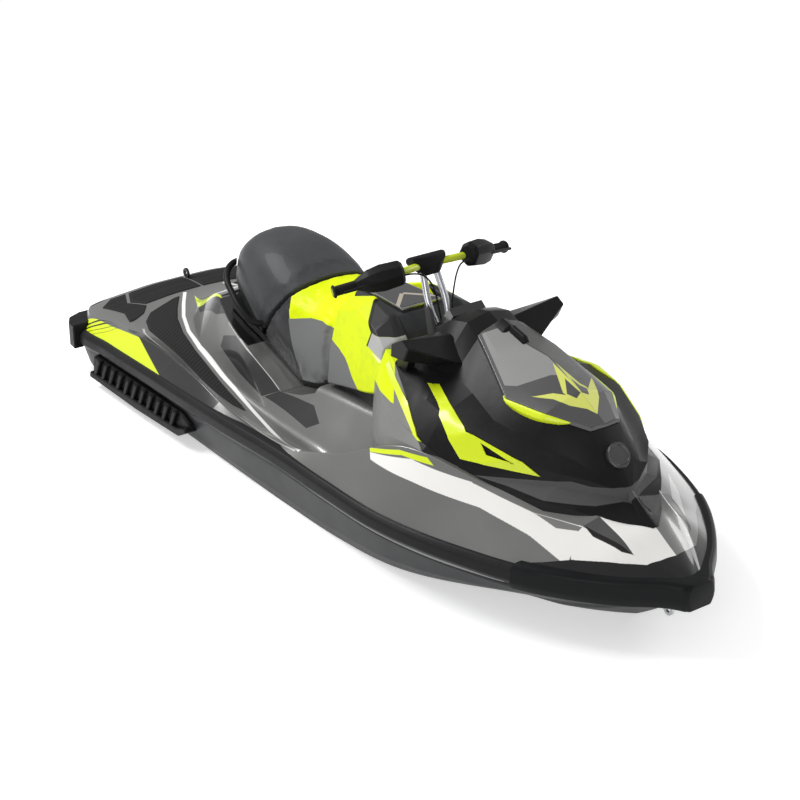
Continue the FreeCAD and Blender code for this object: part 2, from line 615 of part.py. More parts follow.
# Glove box lid: a flat plate on the console, hinged at its front edge
lid_half = size("glove_width") / 2 + border
lid_back_share = .85
lid_seat = console_crown_shares[0] * HEIGHT + size("glove_lid_gap")
glove_plate = prism([(lid_back, -lid_half * lid_back_share, lid_seat), (lid_front, -lid_half, lid_seat),
                     (lid_front, lid_half, lid_seat), (lid_back, lid_half * lid_back_share, lid_seat)],
                    Vector(0, 0, size("glove_lid_thickness")))
console_held, glove_swung = hinge("GloveHinge", lid_front, lid_seat, console_form,
                                  form("GloveLid", glove_plate))
finish(cut("Console", console_held, fuse("ConsoleCuts", [body_form, fairing_form, glove_well])),
       "console")
finish(glove_swung, "glove_box_lid")

# Gauges in front of the column, on the slope of the fairing's ridge
gauge_start = column_start.x + size("collar_radius") + 2 * size("bar_radius")
rows = zip(fairing_x, fairing_x[1:], ridge_line_shares, ridge_line_shares[1:])
slope_low, slope_high, low_share, high_share = next(row for row in rows if row[0] <= gauge_start < row[1])
gauge_slope = HEIGHT * (high_share - low_share) / (slope_high - slope_low)
gauge_shape = Part.makeBox(size("gauge_length"), size("gauge_width"), size("gauge_height"))
gauge = form("Gauge", gauge_shape)
gauge.Placement = FreeCAD.Placement(
    Vector(gauge_start, -size("gauge_width") / 2,
           HEIGHT * low_share + (gauge_start - slope_low) * gauge_slope + size("gauge_gap")),
    FreeCAD.Rotation(Vector(0, 1, 0), -math.degrees(math.atan(gauge_slope))))
finish(cut("GaugePod", gauge, fairing_form), "gauge_cluster")

# Steering column: its axis leans back; the parts on it are drawn along this axis
def on_column(along, forward=0, sideways=0):
    """Point placed by its distance along, ahead of and beside the steering axis."""
    return column_start + column_axis * along + column_across * forward + Vector(0, sideways, 0)


collar = Part.makeCylinder(size("collar_radius"), size("collar_height"),
                           on_column(size("collar_gap")), column_axis)
post = Part.makeCylinder(size("post_radius"), size("post_length"),
                         on_column(size("collar_gap") * 2 - size("post_length")), column_axis)
bar_head = size("column_length") + size("riser_radius")
arm_shares = ((.03, .35), (.45, .75), (1, .5))
arms = [tube([on_column(along * bar_head, 0, side * aside * size("riser_spread"))
              for along, aside in arm_shares], size("riser_radius")) for side in (1, -1)]
riser = collar.fuse([post] + arms)

bar_shares = ((.0, 0), (.04, .13), (.055, .30), (-.01, .44), (-.075, .64))
half_bar = [on_column(bar_head - y / bar_shares[-1][1] * size("bar_drop"), x * HALF_BEAM, y * HALF_BEAM)
            for x, y in bar_shares]
bar_points = [Vector(p.x, -p.y, p.z) for p in reversed(half_bar[1:])] + half_bar[1:]
bar_form = form("BarForm", tube([tuple(p) for p in bar_points], size("bar_radius")))
riser_form = form("RiserForm", riser)
finish(cut("Riser", riser_form, bar_form), "steering_riser")
finish(form("Bar", bar_form.Shape), "handlebar")

hand_start, hand_end = half_bar[-2], half_bar[-1]
hand = (hand_end - hand_start).normalize()
grip_start = hand_end - hand * size("grip_length")
grip_outer = Part.makeCylinder(size("grip_radius"), size("grip_length"), grip_start, hand)
grip_ring = Part.makeCylinder(size("flange_radius"), size("grip_flange"), grip_start, hand)
grip_form = form("GripForm", mirrored(grip_outer.fuse(grip_ring)))
finish(cut("Grips", grip_form, bar_form), "grips")

pad_centre = on_column(bar_head + size("pad_height") * .5)
pad_shape = Part.makeBox(size("pad_width"), size("pad_length"), size("pad_height"))
pad_shape = pad_shape.makeChamfer(size("pad_chamfer"), pad_shape.Edges)
pad_solid = form("PadForm", pad_shape)
pad_solid.Placement = FreeCAD.Placement(
    pad_centre - column_across * (size("pad_width") / 2) - Vector(0, size("pad_length") / 2, 0)
    - column_axis * (size("pad_height") / 2),
    FreeCAD.Rotation(Vector(0, 1, 0), -size("column_rake")))
finish(cut("BarPad", pad_solid, fuse("BarPadCuts", [bar_form, riser_form])), "bar_pad")

# Control housings inboard of the grips, with a lever ahead of each grip
housing_at = (half_bar[-3] + half_bar[-2]) * .5
housing_run = (half_bar[-2] - half_bar[-3]).normalize()
housing_turn = math.degrees(math.atan2(-housing_run.x, housing_run.y))
housing_box = Part.makeBox(size("housing_width"), size("housing_length"), size("housing_height"))
housing_box = housing_box.makeChamfer(size("housing_chamfer"), housing_box.Edges)
housing_box.translate(Vector(-size("housing_width") / 2, -size("housing_length") / 2,
                             -size("housing_height") / 2))
housing_box.rotate(Vector(), Vector(0, 1, 0), -size("column_rake"))
housing_box.rotate(Vector(), column_axis, housing_turn)
housing_box.translate(housing_at)
housings = form("HousingForm", mirrored(housing_box))
finish(cut("Housings", housings, bar_form), "control_housings")

lever_shares = ((.55, .10), (.74, .40), (.85, .85), (.93, 1.45), (.97, 1.95))
lever_points = [housing_at + column_across * (size("housing_width") * x)
                + housing_run * (size("housing_length") * y) for x, y in lever_shares]
lever_form = form("LeverForm", mirrored(tube([tuple(p) for p in lever_points], size("lever_radius"))))
finish(cut("Levers", lever_form, housings), "levers")

# Control cables run from each housing inward, then down beside the column into its collar
cable_route = ((-4, 52, 206), (-6, 62, 164), (-8, 70, 122), (-20, 76, 84), (-52, 76, 58),
               (-92, 66, 43), (-132, 52, 34), (-172, 40, 28), (-210, 31, 24), (-246, 26, 21))
cable_points = [tuple(on_column(bar_head + along, ahead, aside)) for along, ahead, aside in cable_route]
cables = form("CableForm", mirrored(tube(cable_points, size("cable_radius"))))
finish(cut("Cables", cables, fuse("CableEnds", [housings, riser_form])), "control_cables")

# Mirror wings on the fairing's shoulders
mirror_root_shares = ((.628, .755), (.690, .765), (.672, .862), (.634, .850))
mirror_tip_shares = ((.621, .812), (.646, .816), (.640, .846), (.624, .842))
mirror_span_shares = (.235, .575)
mirror_wires = [Part.makePolygon([Vector(x * LENGTH, y * HALF_BEAM, z * HEIGHT)
                                  for x, z in outline + outline[:1]])
                for y, outline in zip(mirror_span_shares, (mirror_root_shares, mirror_tip_shares))]
mirror_form = form("MirrorForm", mirrored(loft(mirror_wires, True)))
finish(cut("Mirrors", mirror_form, fairing_form), "mirrors")

# Blades that stand on the flanks of the fairing
blade_half, blade_rise = size("fairing_blade_width") / 2, size("fairing_blade_height") / 2
blade_shares = (((.600, .455, .722), (.652, .555, .678), (.709, .690, .617)),
                ((.669, .431, .730), (.703, .515, .712), (.740, .580, .660), (.757, .600, .612),
                 (.795, .500, .612), (.835, .385, .604)))
blade_solids = []
for route in blade_shares:
    blade_wires = [side_section(x * LENGTH, [
        (y * HALF_BEAM - blade_half, z * HEIGHT - blade_rise),
        (y * HALF_BEAM + blade_half, z * HEIGHT - blade_rise),
        (y * HALF_BEAM + blade_half, z * HEIGHT + blade_rise),
        (y * HALF_BEAM - blade_half, z * HEIGHT + blade_rise)]) for x, y, z in route]
    blade = loft(blade_wires, True)
    blade_solids += [blade, blade.mirror(Vector(), Vector(0, 1, 0))]
blade_form = form("BladeForm", Part.makeCompound(blade_solids))
finish(cut("Blades", blade_form, fuse("BladeCuts", [fairing_form, body_form])), "fairing_blades")

# Lips along the lid's side edges and the latch at its rear edge
lip, lip_rise, overhang = size("lip_width"), size("lip_height"), size("lip_overhang")
lip_wires = []
for k in range(5, 8):
    edge_y, edge_z = lid_edge[k]
    lip_wires.append(side_section(fairing_x[k], [
        (edge_y - lip, edge_z - lip_rise / 2), (edge_y + overhang, edge_z - lip_rise / 2),
        (edge_y + overhang, edge_z + lip_rise), (edge_y - lip, edge_z + lip_rise)]))
lip_form = form("LipForm", mirrored(loft(lip_wires, True)))
finish(cut("Lips", lip_form, lid_form), "lid_scoops")
rear, ahead = lid_rows[0], lid_rows[1]


def latch_section(x):
    """Section of the latch, a saddle over the ridge of the lid at the station x."""
    share = (x - fairing_x[rear]) / (fairing_x[ahead] - fairing_x[rear])
    line = zip((ridge_line_shares[rear] * HEIGHT, *lid_edge[rear]),
               (ridge_line_shares[ahead] * HEIGHT, *lid_edge[ahead]))
    ridge_z, edge_y, edge_z = [start + (end - start) * share for start, end in line]
    half = size("latch_width") / 2
    side_z = ridge_z + (edge_z - ridge_z) * half / edge_y
    sunk, rise = size("lid_thickness") / 2, size("latch_height")
    return across(x, [(0, ridge_z - sunk), (half, side_z - sunk), (half, side_z + rise / 2),
                      (0, ridge_z + rise)])


latch_reach = size("latch_length") / 2
latch_form = form("LatchForm", loft([latch_section(LENGTH * size("bin_share") - latch_reach),
                                     latch_section(LENGTH * size("bin_share") + latch_reach)], True))
finish(cut("Latch", latch_form, lid_form), "lid_latch")

# Jet pump: housing with a stator, then the venturi that carries the nozzle and the gate
PUMP = Vector(0, 0, size("pump_height"))


def along_pump(station, radius, length):
    """Solid cylinder about the pump's axis."""
    return Part.makeCylinder(radius, length, PUMP + Vector(station, 0, 0), Vector(1, 0, 0))


def taper(station, start, end, length):
    """Solid cone about the pump's axis."""
    return Part.makeCone(start, end, length, PUMP + Vector(station, 0, 0), Vector(1, 0, 0))


bore_radius = size("pump_radius") - size("pump_wall")
hub = size("hub_radius")
stator_start = size("impeller_start") - size("stator_gap") - size("stator_length")
housing = along_pump(size("pump_start"), size("pump_radius"), size("pump_length"))
housing = housing.cut(along_pump(size("pump_start"), bore_radius, size("pump_length")))
stator = along_pump(stator_start, hub, size("stator_length"))
vane_span = (hub + bore_radius + size("pump_wall") / 2)
for turn in range(int(size("vane_count"))):
    vane = Part.makeBox(size("stator_length"), size("vane_thickness"), vane_span - hub,
                        PUMP + Vector(stator_start, -size("vane_thickness") / 2, hub * .8))
    vane = vane.common(along_pump(stator_start, bore_radius + size("pump_wall") / 2,
                                  size("stator_length")))
    vane.rotate(PUMP, Vector(1, 0, 0), turn * 360 / size("vane_count"))
    stator = stator.fuse(vane)
shaft_hole = along_pump(size("shaft_start") - size("shaft_gap"),
                        size("shaft_radius") + size("shaft_clearance"),
                        size("impeller_start") - size("shaft_start") + size("shaft_gap"))
finish(form("PumpHousing", housing.fuse(stator.cut(shaft_hole))), "pump_housing")

venturi_start = size("pump_start") - size("venturi_length")
outlet = size("venturi_outlet")
tail = size("venturi_tail")
tail_end = venturi_start + tail
venturi = along_pump(venturi_start, outlet + size("venturi_wall"), tail)
venturi = venturi.fuse(taper(tail_end, outlet + size("venturi_wall"), size("pump_radius"),
                             size("venturi_length") - tail))
nozzle_axis = PUMP + Vector(size("nozzle_pivot"), 0, 0)
nozzle_outside = size("nozzle_inlet") + size("nozzle_wall")
pin_length = 2 * (nozzle_outside + size("nozzle_wall") / 2)
pins = Part.makeCylinder(size("pin_radius"), pin_length, nozzle_axis - Vector(0, 0, pin_length / 2),
                         Vector(0, 0, 1))
gate_axis = PUMP + Vector(size("gate_pivot"), 0, 0)
gate_reach = size("gate_inner") + size("gate_wall") * 1.5
gate_pins = Part.makeCylinder(size("gate_pin"), 2 * gate_reach, gate_axis - Vector(0, gate_reach, 0),
                              Vector(0, 1, 0))
flow = along_pump(venturi_start, outlet, tail)
flow = flow.fuse(taper(tail_end, outlet, bore_radius, size("venturi_length") - tail))
finish(form("Venturi", venturi.fuse([pins, gate_pins]).cut(flow)), "venturi")

nozzle_start = size("nozzle_pivot") - size("nozzle_length")
nozzle_total = size("nozzle_length") + size("nozzle_front")
nozzle = taper(nozzle_start, size("nozzle_outlet") + size("nozzle_wall"), nozzle_outside, nozzle_total)
nozzle = nozzle.cut(taper(nozzle_start, size("nozzle_outlet"), size("nozzle_inlet"), nozzle_total))
pin_hole = Part.makeCylinder(size("pin_radius") + size("pin_clearance"), pin_length,
                             nozzle_axis - Vector(0, 0, pin_length / 2), Vector(0, 0, 1))
finish(form("Nozzle", nozzle.cut(pin_hole)), "steering_nozzle")

# Reverse gate: a curved bucket between two arms, parked above the nozzle
gate_half = size("gate_inner") + size("gate_wall")


def gate_disc(radius, low, width):
    """Disc about the gate's axis, from a low side."""
    return Part.makeCylinder(radius, width, gate_axis + Vector(0, low, 0), Vector(0, 1, 0))


def gate_ray(degrees):
    """Far point from the gate's axis, at an angle above aft."""
    angle = math.radians(degrees)
    return gate_axis + Vector(-math.cos(angle), 0, math.sin(angle)) * (2 * size("gate_radius"))


wedge_points = [gate_axis, gate_ray(size("gate_tilt")), gate_ray(size("gate_tilt") + size("gate_span"))]
wedge = prism([(p.x, -gate_half, p.z) for p in wedge_points], Vector(0, 2 * gate_half, 0))
bucket = gate_disc(size("gate_radius"), -gate_half, 2 * gate_half)
bucket = bucket.cut(gate_disc(size("gate_radius") - size("gate_wall"), -gate_half, 2 * gate_half))
gate = bucket.common(wedge)
for low in (-gate_half, size("gate_inner")):
    arm = gate_disc(size("gate_radius"), low, size("gate_wall")).common(wedge)
    gate = gate.fuse([arm, gate_disc(size("gate_boss"), low, size("gate_wall"))])
gate_hole = gate_disc(size("gate_pin") + size("pin_clearance"), -gate_half, 2 * gate_half)
finish(form("Gate", gate.cut(gate_hole)), "reverse_gate")

# Impeller and its shaft, which reaches the engine
impeller = along_pump(size("impeller_start"), hub, size("impeller_length"))
tip = bore_radius - size("impeller_tip_gap")
for turn in range(int(size("blade_count"))):
    blade = Part.makeBox(size("impeller_length"), size("blade_thickness"), tip,
                         Vector(-size("impeller_length") / 2, -size("blade_thickness") / 2, hub * .8))
    blade.rotate(Vector(), Vector(0, 0, 1), size("blade_pitch"))
    blade.translate(PUMP + Vector(size("impeller_start") + size("impeller_length") / 2, 0, 0))
    blade = blade.common(along_pump(size("impeller_start"), tip, size("impeller_length")))
    blade.rotate(PUMP, Vector(1, 0, 0), turn * 360 / size("blade_count"))
    impeller = impeller.fuse(blade)
shaft_end = LENGTH * size("bay_share") + size("engine_gap") - size("shaft_gap")
shaft = along_pump(size("shaft_start"), size("shaft_radius"), shaft_end - size("shaft_start"))
finish(form("Impeller", impeller.cut(shaft)), "impeller")
finish(form("Shaft", shaft), "drive_shaft")

# Ride plate below the pump, and the grate over the intake
plate = box("PlateAft", ("plate_start", "-plate_width / 2", "plate_height"),
            "notch_length - plate_start - plate_gap", "plate_width", "plate_thickness")
plate_front = box("PlateFront", ("notch_length - 2 * plate_gap", "-tunnel_width / 2 + plate_gap",
                                 "plate_height"), "plate_length + plate_start - notch_length",
                  "tunnel_width - 2 * plate_gap", "plate_thickness")
finish(fuse("RidePlate", [plate, plate_front]), "ride_plate")

grate_start = "plate_start + plate_length + plate_gap"
grate_length = "notch_length + tunnel_length + intake_length - plate_gap - (" + grate_start + ")"
bars = [box("GrateRear", (grate_start, "-grate_width / 2", "plate_height"), "grate_end", "grate_width",
            "plate_thickness"),
        box("GrateFront", ("notch_length + tunnel_length + intake_length - plate_gap - grate_end",
                           "-grate_width / 2", "plate_height"), "grate_end", "grate_width",
            "plate_thickness")]
for k in range(int(size("grate_count"))):
    place = f"(grate_width - grate_bar) * {k} / (grate_count - 1) - grate_width / 2"
    bars.append(box(f"GrateBar{k}", (grate_start, place, "plate_height"), grate_length, "grate_bar",
                    "plate_thickness"))
finish(fuse("Grate", bars), "intake_grate")

# Fittings: tow eye on the platform, bow eye on the stem and drain plugs in the transom


def eye(name, station, height, label):
    """Upright plate with a hole, standing on the body."""
    disc = cylinder(name + "Disc", (station, "-eye_thickness / 2", height), "eye_radius",
                    "eye_thickness", "y")
    hole = cylinder(name + "Hole", (station, "-eye_thickness", height), "eye_hole",
                    "2 * eye_thickness", "y")
    finish(cut(name, cut(name + "Plate", disc, hole), body_form), label)


eye("TowEye", "tow_eye_station", "height * tow_eye_height_share", "tow_eye")
eye("BowEye", "length * bow_eye_share", "height * bow_eye_height_share", "bow_eye")
plugs = cylinder("Plug", ("0", "plug_spacing / 2", "height * plug_height_share"), "plug_radius",
                 "plug_depth", "x")
finish(pair("Plugs", plugs), "drain_plugs")

doc.recompute()


def check():
    """Stops on a failed object or an empty or invalid sub-part."""
    for thing in doc.Objects:
        if any(word in thing.State for word in ("Invalid", "Error")):
            raise RuntimeError(f"{thing.Name} failed: {thing.State}")
    for part in nodes:
        if part.Shape.isNull() or not part.Shape.isValid() or not part.Shape.Solids:
            raise RuntimeError(f"{part.Label} has no valid solid")


check()
os.makedirs(PARTS, exist_ok=True)
for part in nodes:
    part.Shape.exportStep(os.path.join(PARTS, part.Label + ".step"))
    print(part.Label, len(part.Shape.Solids), round(part.Shape.Volume / 1e6, 3))
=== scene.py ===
"""Looks of a personal watercraft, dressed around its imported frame.

Shells are control nets: lines that run along the craft, made smooth along its length, with each
section's corners rounded by an arc. Sizes are in metres, and places are shares of the craft's length,
half beam and height above the keel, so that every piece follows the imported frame.
"""

from __future__ import annotations

import json
import logging
import math
from dataclasses import dataclass, field
from enum import Enum
from typing import Iterable, Sequence

import bmesh
import bpy
import numpy as np
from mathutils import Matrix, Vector

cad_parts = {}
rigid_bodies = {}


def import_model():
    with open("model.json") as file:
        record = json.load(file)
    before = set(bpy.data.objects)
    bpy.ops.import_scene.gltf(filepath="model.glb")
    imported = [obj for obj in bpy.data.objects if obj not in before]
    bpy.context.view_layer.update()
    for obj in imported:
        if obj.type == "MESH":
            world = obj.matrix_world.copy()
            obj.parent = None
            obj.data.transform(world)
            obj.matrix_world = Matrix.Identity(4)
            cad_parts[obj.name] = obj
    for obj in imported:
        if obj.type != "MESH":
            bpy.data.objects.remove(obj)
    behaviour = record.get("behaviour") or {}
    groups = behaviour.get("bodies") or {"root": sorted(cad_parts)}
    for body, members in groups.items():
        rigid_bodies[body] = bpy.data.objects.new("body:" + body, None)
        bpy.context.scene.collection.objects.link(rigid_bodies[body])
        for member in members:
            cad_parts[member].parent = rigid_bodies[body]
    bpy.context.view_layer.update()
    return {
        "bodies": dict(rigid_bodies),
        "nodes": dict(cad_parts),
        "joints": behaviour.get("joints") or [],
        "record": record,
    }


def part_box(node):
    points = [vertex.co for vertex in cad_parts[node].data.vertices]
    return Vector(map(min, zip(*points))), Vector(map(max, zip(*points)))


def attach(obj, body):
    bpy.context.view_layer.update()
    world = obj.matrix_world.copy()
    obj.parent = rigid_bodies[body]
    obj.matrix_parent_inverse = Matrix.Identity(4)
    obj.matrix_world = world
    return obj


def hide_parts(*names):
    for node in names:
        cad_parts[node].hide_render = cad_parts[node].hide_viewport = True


LOG = logging.getLogger("watercraft")
MM = 0.001
FACET_ANGLE = 20.0
CUT_SIDES = (-0.6, 0.6)
BIN_GAP = 0.3 * MM
Shares = Sequence[Sequence[float]]
Colour = tuple[float, float, float]
Piece = bpy.types.Object
Material = bpy.types.Material


class Body(Enum):
    """Bodies of the frame that pieces ride on."""

    HULL = "hull"
    STEERING = "steering"
    SEAT = "seat"
    LID = "front_lid"
    GLOVE = "glove_lid"


# Shader graphs


class Signal:
    """A shader socket that takes part in arithmetic."""

    def __init__(self, graph: "Graph", socket: bpy.types.NodeSocket) -> None:
        """Wraps a socket of a graph."""
        self.graph = graph
        self.socket = socket

    def _math(self, operation: str, first: object, second: object = 0.0, clamp: bool = False) -> "Signal":
        """Adds a Math node.

        Args:
            operation: Name of the operation.
            first: Signal or number.
            second: Signal or number.
            clamp: Whether the result stays between 0 and 1.

        Returns:
            The node's result.
        """
        settings = {"operation": operation, "use_clamp": clamp}
        return self.graph.add("ShaderNodeMath", settings, {0: first, 1: second}).out(0)

    def __add__(self, other: object) -> "Signal":
        """Sum."""
        return self._math("ADD", self, other)

    def __sub__(self, other: object) -> "Signal":
        """Difference."""
        return self._math("SUBTRACT", self, other)

    def __rsub__(self, other: object) -> "Signal":
        """Difference from a number."""
        return self._math("SUBTRACT", other, self)

    def __mul__(self, other: object) -> "Signal":
        """Product."""
        return self._math("MULTIPLY", self, other)

    def __or__(self, other: object) -> "Signal":
        """Union of two masks."""
        return self._math("MAXIMUM", self, other)

    def __and__(self, other: object) -> "Signal":
        """Overlap of two masks."""
        return self._math("MINIMUM", self, other)

    def size(self) -> "Signal":
        """Value without its sign."""
        return self._math("ABSOLUTE", self)

    def wave(self) -> "Signal":
        """Sine of the value."""
        return self._math("SINE", self)

    def above(self, level: float, soft: float) -> "Signal":
        """Mask that rises from 0 to 1 about a level, over a soft width."""
        return self._math("ADD", (self - level) * (1 / soft), 0.5, clamp=True)


class Added:
    """A node that was added to a graph."""

    def __init__(self, graph: "Graph", node: bpy.types.Node) -> None:
        """Wraps a node."""
        self.graph = graph
        self.node = node

    def out(self, key: int | str) -> Signal:
        """One of its outputs."""
        return Signal(self.graph, self.node.outputs[key])


class Graph:
    """Node tree of one material, or of the world."""

    def __init__(self, name: str, world: bool = False) -> None:
        """Starts an empty tree."""
        self.owner = (bpy.data.worlds if world else bpy.data.materials).new(name)
        self.owner.use_nodes = True
        self.tree = self.owner.node_tree
        self.tree.nodes.clear()
        self._axes: dict[str, Signal] = {}

    def add(self, kind: str, settings: dict | None = None, inputs: dict | None = None) -> Added:
        """Adds a node.

        Args:
            kind: Type of the node.
            settings: Its own settings.
            inputs: Values or signals of its sockets.

        Returns:
            The added node.
        """
        node = self.tree.nodes.new(kind)
        for key, value in (settings or {}).items():
            setattr(node, key, value)
        for key, value in (inputs or {}).items():
            if isinstance(value, Signal):
                self.tree.links.new(value.socket, node.inputs[key])
            else:
                node.inputs[key].default_value = value
        return Added(self, node)

    def axis(self, name: str) -> Signal:
        """One of the object's coordinates, X, Y or Z."""
        if not self._axes:
            parts = self.add("ShaderNodeSeparateXYZ", None, {0: self.place()})
            self._axes = {key: parts.out(key) for key in "XYZ"}
        return self._axes[name]

    def place(self) -> Signal:
        """The object's coordinates as a vector."""
        return self.add("ShaderNodeTexCoord").out("Object")

    def noise(self, scale: float, detail: float = 2.0, stretch: Sequence[float] | None = None) -> Signal:
        """Noise between 0 and 1.

        Args:
            scale: Waves in a metre.
            detail: Octaves.
            stretch: Factors of the three axes.

        Returns:
            The noise.
        """
        place = self.place()
        if stretch:
            place = self.add("ShaderNodeMapping", None, {"Vector": place, "Scale": tuple(stretch)}).out(0)
        sockets = {"Vector": place, "Scale": scale, "Detail": detail}
        return self.add("ShaderNodeTexNoise", None, sockets).out(0)

    def cells(self, scale: float) -> Signal:
        """Distance to the nearest point of a scattered set."""
        return self.add("ShaderNodeTexVoronoi", None, {"Vector": self.place(), "Scale": scale}).out(0)

    def mix(self, mask: Signal | float, first: object, second: object) -> Signal:
        """Colour that goes from the first to the second with a mask."""
        sockets = {0: mask, 6: self._colour(first), 7: self._colour(second)}
        return self.add("ShaderNodeMix", {"data_type": "RGBA"}, sockets).out(2)

    @staticmethod
    def _colour(value: object) -> object:
        """A colour with its alpha."""
        return (*value, 1.0) if isinstance(value, tuple) else value

    def side(self, first: Signal, second: Signal, start: Sequence[float], end: Sequence[float],
             soft: float) -> Signal:
        """Mask of the left of a line in the plane of two signals: the signed distance over a width.

        Args:
            first: Coordinate to the right.
            second: Coordinate upwards.
            start: Point of the line.
            end: Later point of the line.
            soft: Width of the edge.

        Returns:
            The mask.
        """
        run = np.subtract(end, start)
        normal = np.array([-run[1], run[0]]) / (np.hypot(*run) * soft)
        offset = 0.5 - float(normal @ np.asarray(start))
        upper = self.add("ShaderNodeMath", {"operation": "MULTIPLY_ADD"},
                         {0: second, 1: float(normal[1]), 2: offset}).out(0)
        return self.add("ShaderNodeMath", {"operation": "MULTIPLY_ADD", "use_clamp": True},
                        {0: first, 1: float(normal[0]), 2: upper}).out(0)

    def patch(self, first: Signal, second: Signal, corners: Shares, soft: float = 1.5 * MM) -> Signal:
        """Mask of a convex outline, given anticlockwise in the plane of two signals."""
        mask = None
        for start, end in zip(corners, [*corners[1:], corners[0]]):
            edge = self.side(first, second, start, end, soft)
            mask = edge if mask is None else mask & edge
        return mask

    def bump(self, height: Signal, depth: float) -> Signal:
        """Normal from a height in units of a depth."""
        sockets = {"Height": height, "Distance": depth, "Strength": 1.0}
        return self.add("ShaderNodeBump", None, sockets).out(0)

    def finish(self, sockets: dict) -> Material:
        """Adds the surface shader and the output.

        Args:
            sockets: Values or signals of the surface shader's sockets.

        Returns:
            The material.
        """
        sockets = {key: self._colour(value) for key, value in sockets.items()}
        shader = self.add("ShaderNodeBsdfPrincipled", None, sockets).out(0)
        self.add("ShaderNodeOutputMaterial", None, {0: shader})
        return self.owner


# Surfaces


def curved(stations: np.ndarray, values: np.ndarray, at: np.ndarray) -> np.ndarray:
    """Smooth lines through stations.

    Between two stations a line is a cubic. Its slope at each station is the mean of the straight slopes
    on both sides, with more weight on the shorter side.

    Args:
        stations: Increasing places of the values, one axis.
        values: Values at the stations, stations first.
        at: Places that are wanted.

    Returns:
        The values at the wanted places.
    """
    span = np.diff(stations)
    flat = values.reshape(len(stations), -1)
    straight = np.diff(flat, axis=0) / span[:, None]
    slopes = np.empty_like(flat)
    slopes[1:-1] = (straight[:-1] * span[1:, None] + straight[1:] * span[:-1, None]) / (
        span[1:] + span[:-1])[:, None]
    slopes[0] = 1.5 * straight[0] - 0.5 * slopes[1]
    slopes[-1] = 1.5 * straight[-1] - 0.5 * slopes[-2]
    k = np.clip(np.searchsorted(stations, at, "right") - 1, 0, len(span) - 1)
    t = ((at - stations[k]) / span[k])[:, None]
    low, high = flat[k], flat[k + 1]
    rise, fall = slopes[k] * span[k, None], slopes[k + 1] * span[k, None]
    line = (low * (2 * t ** 3 - 3 * t ** 2 + 1) + rise * (t ** 3 - 2 * t ** 2 + t)
            + high * (3 * t ** 2 - 2 * t ** 3) + fall * (t ** 3 - t ** 2))
    return line.reshape(len(at), *values.shape[1:])


def rounded(points: np.ndarray, radius: np.ndarray | float, steps: int, closed: bool) -> np.ndarray:
    """Polylines whose corners become arcs: each a quadratic curve between two points beside the corner.

    Args:
        points: Corners along the last axis but one.
        radius: Reach of each arc from its corner.
        steps: Points on each arc.
        closed: Whether the last corner joins the first.

    Returns:
        The denser polylines.
    """
    if closed:
        before, corner, after = np.roll(points, 1, -2), points, np.roll(points, -1, -2)
    else:
        before, corner, after = points[..., :-2, :], points[..., 1:-1, :], points[..., 2:, :]
    back, ahead = before - corner, after - corner
    back_length = np.linalg.norm(back, axis=-1, keepdims=True)
    ahead_length = np.linalg.norm(ahead, axis=-1, keepdims=True)
    shortest = 0.48 * np.minimum(back_length, ahead_length)
    reach = np.minimum(np.broadcast_to(radius, corner.shape[:-1])[..., None], shortest)
    start = corner + back / np.maximum(back_length, 1e-9) * reach
    end = corner + ahead / np.maximum(ahead_length, 1e-9) * reach
    t = np.linspace(0, 1, steps)[:, None]
    arcs = ((1 - t) ** 2 * start[..., None, :] + 2 * t * (1 - t) * corner[..., None, :]
            + t ** 2 * end[..., None, :])
    arcs = arcs.reshape(*corner.shape[:-2], -1, points.shape[-1])
    if closed:
        return arcs
    return np.concatenate([points[..., :1, :], arcs, points[..., -1:, :]], -2)


def between(start: np.ndarray, end: np.ndarray, share: float | np.ndarray) -> np.ndarray:
    """Points a share of the way from the first to the second."""
    return start + (end - start) * share


def both_sides(half: np.ndarray) -> np.ndarray:
    """Closed sections from half outlines: the port half, then its starboard copy backwards.

    Args:
        half: Sections first, then points from the lower centre to the upper centre.

    Returns:
        Closed sections.
    """
    mirror = half[..., ::-1, :] * np.array([1, -1, 1])
    return np.concatenate([half, mirror[..., 1:-1, :]], -2)


def grid_faces(rows: int, columns: int) -> np.ndarray:
    """Four-sided faces between neighbouring rows of a grid of points, each row a loop."""
    row = np.arange(rows - 1)[:, None]
    column = np.arange(columns)[None]
    ahead = (column + 1) % columns
    corners = [row * columns + column, row * columns + ahead,
               (row + 1) * columns + ahead, (row + 1) * columns + column]
    return np.stack([np.broadcast_to(c, (rows - 1, columns)) for c in corners], -1).reshape(-1, 4)


def linked(name: str, data: bpy.types.ID) -> Piece:
    """A new object of the scene."""
    made = bpy.data.objects.new(name, data)
    bpy.context.scene.collection.objects.link(made)
    return made


def make_object(name: str, points: np.ndarray, faces: Iterable,
                smooth_angle: float = 40.0) -> Piece:
    """Object from points and faces, with doubles merged and its faces turned outwards.

    Args:
        name: Name of the piece.
        points: Its points.
        faces: Its faces.
        smooth_angle: Edges sharper than this many degrees stay sharp.

    Returns:
        The object, linked to the scene.
    """
    mesh = bpy.data.meshes.new(name)
    mesh.from_pydata(points.reshape(-1, 3).tolist(), [], [list(map(int, face)) for face in faces])
    made = bmesh.new()
    made.from_mesh(mesh)
    bmesh.ops.remove_doubles(made, verts=made.verts, dist=0.02 * MM)
    bmesh.ops.dissolve_degenerate(made, edges=made.edges, dist=0.01 * MM)
    bmesh.ops.recalc_face_normals(made, faces=made.faces)
    made.to_mesh(mesh)
    made.free()
    piece = linked(name, mesh)
    shade(piece, smooth_angle)
    return piece


def shade(piece: Piece, smooth_angle: float = 40.0) -> None:
    """Smooth shading with sharp edges above an angle in degrees."""
    piece.data.shade_smooth()
    piece.data.set_sharp_from_angle(angle=math.radians(smooth_angle))


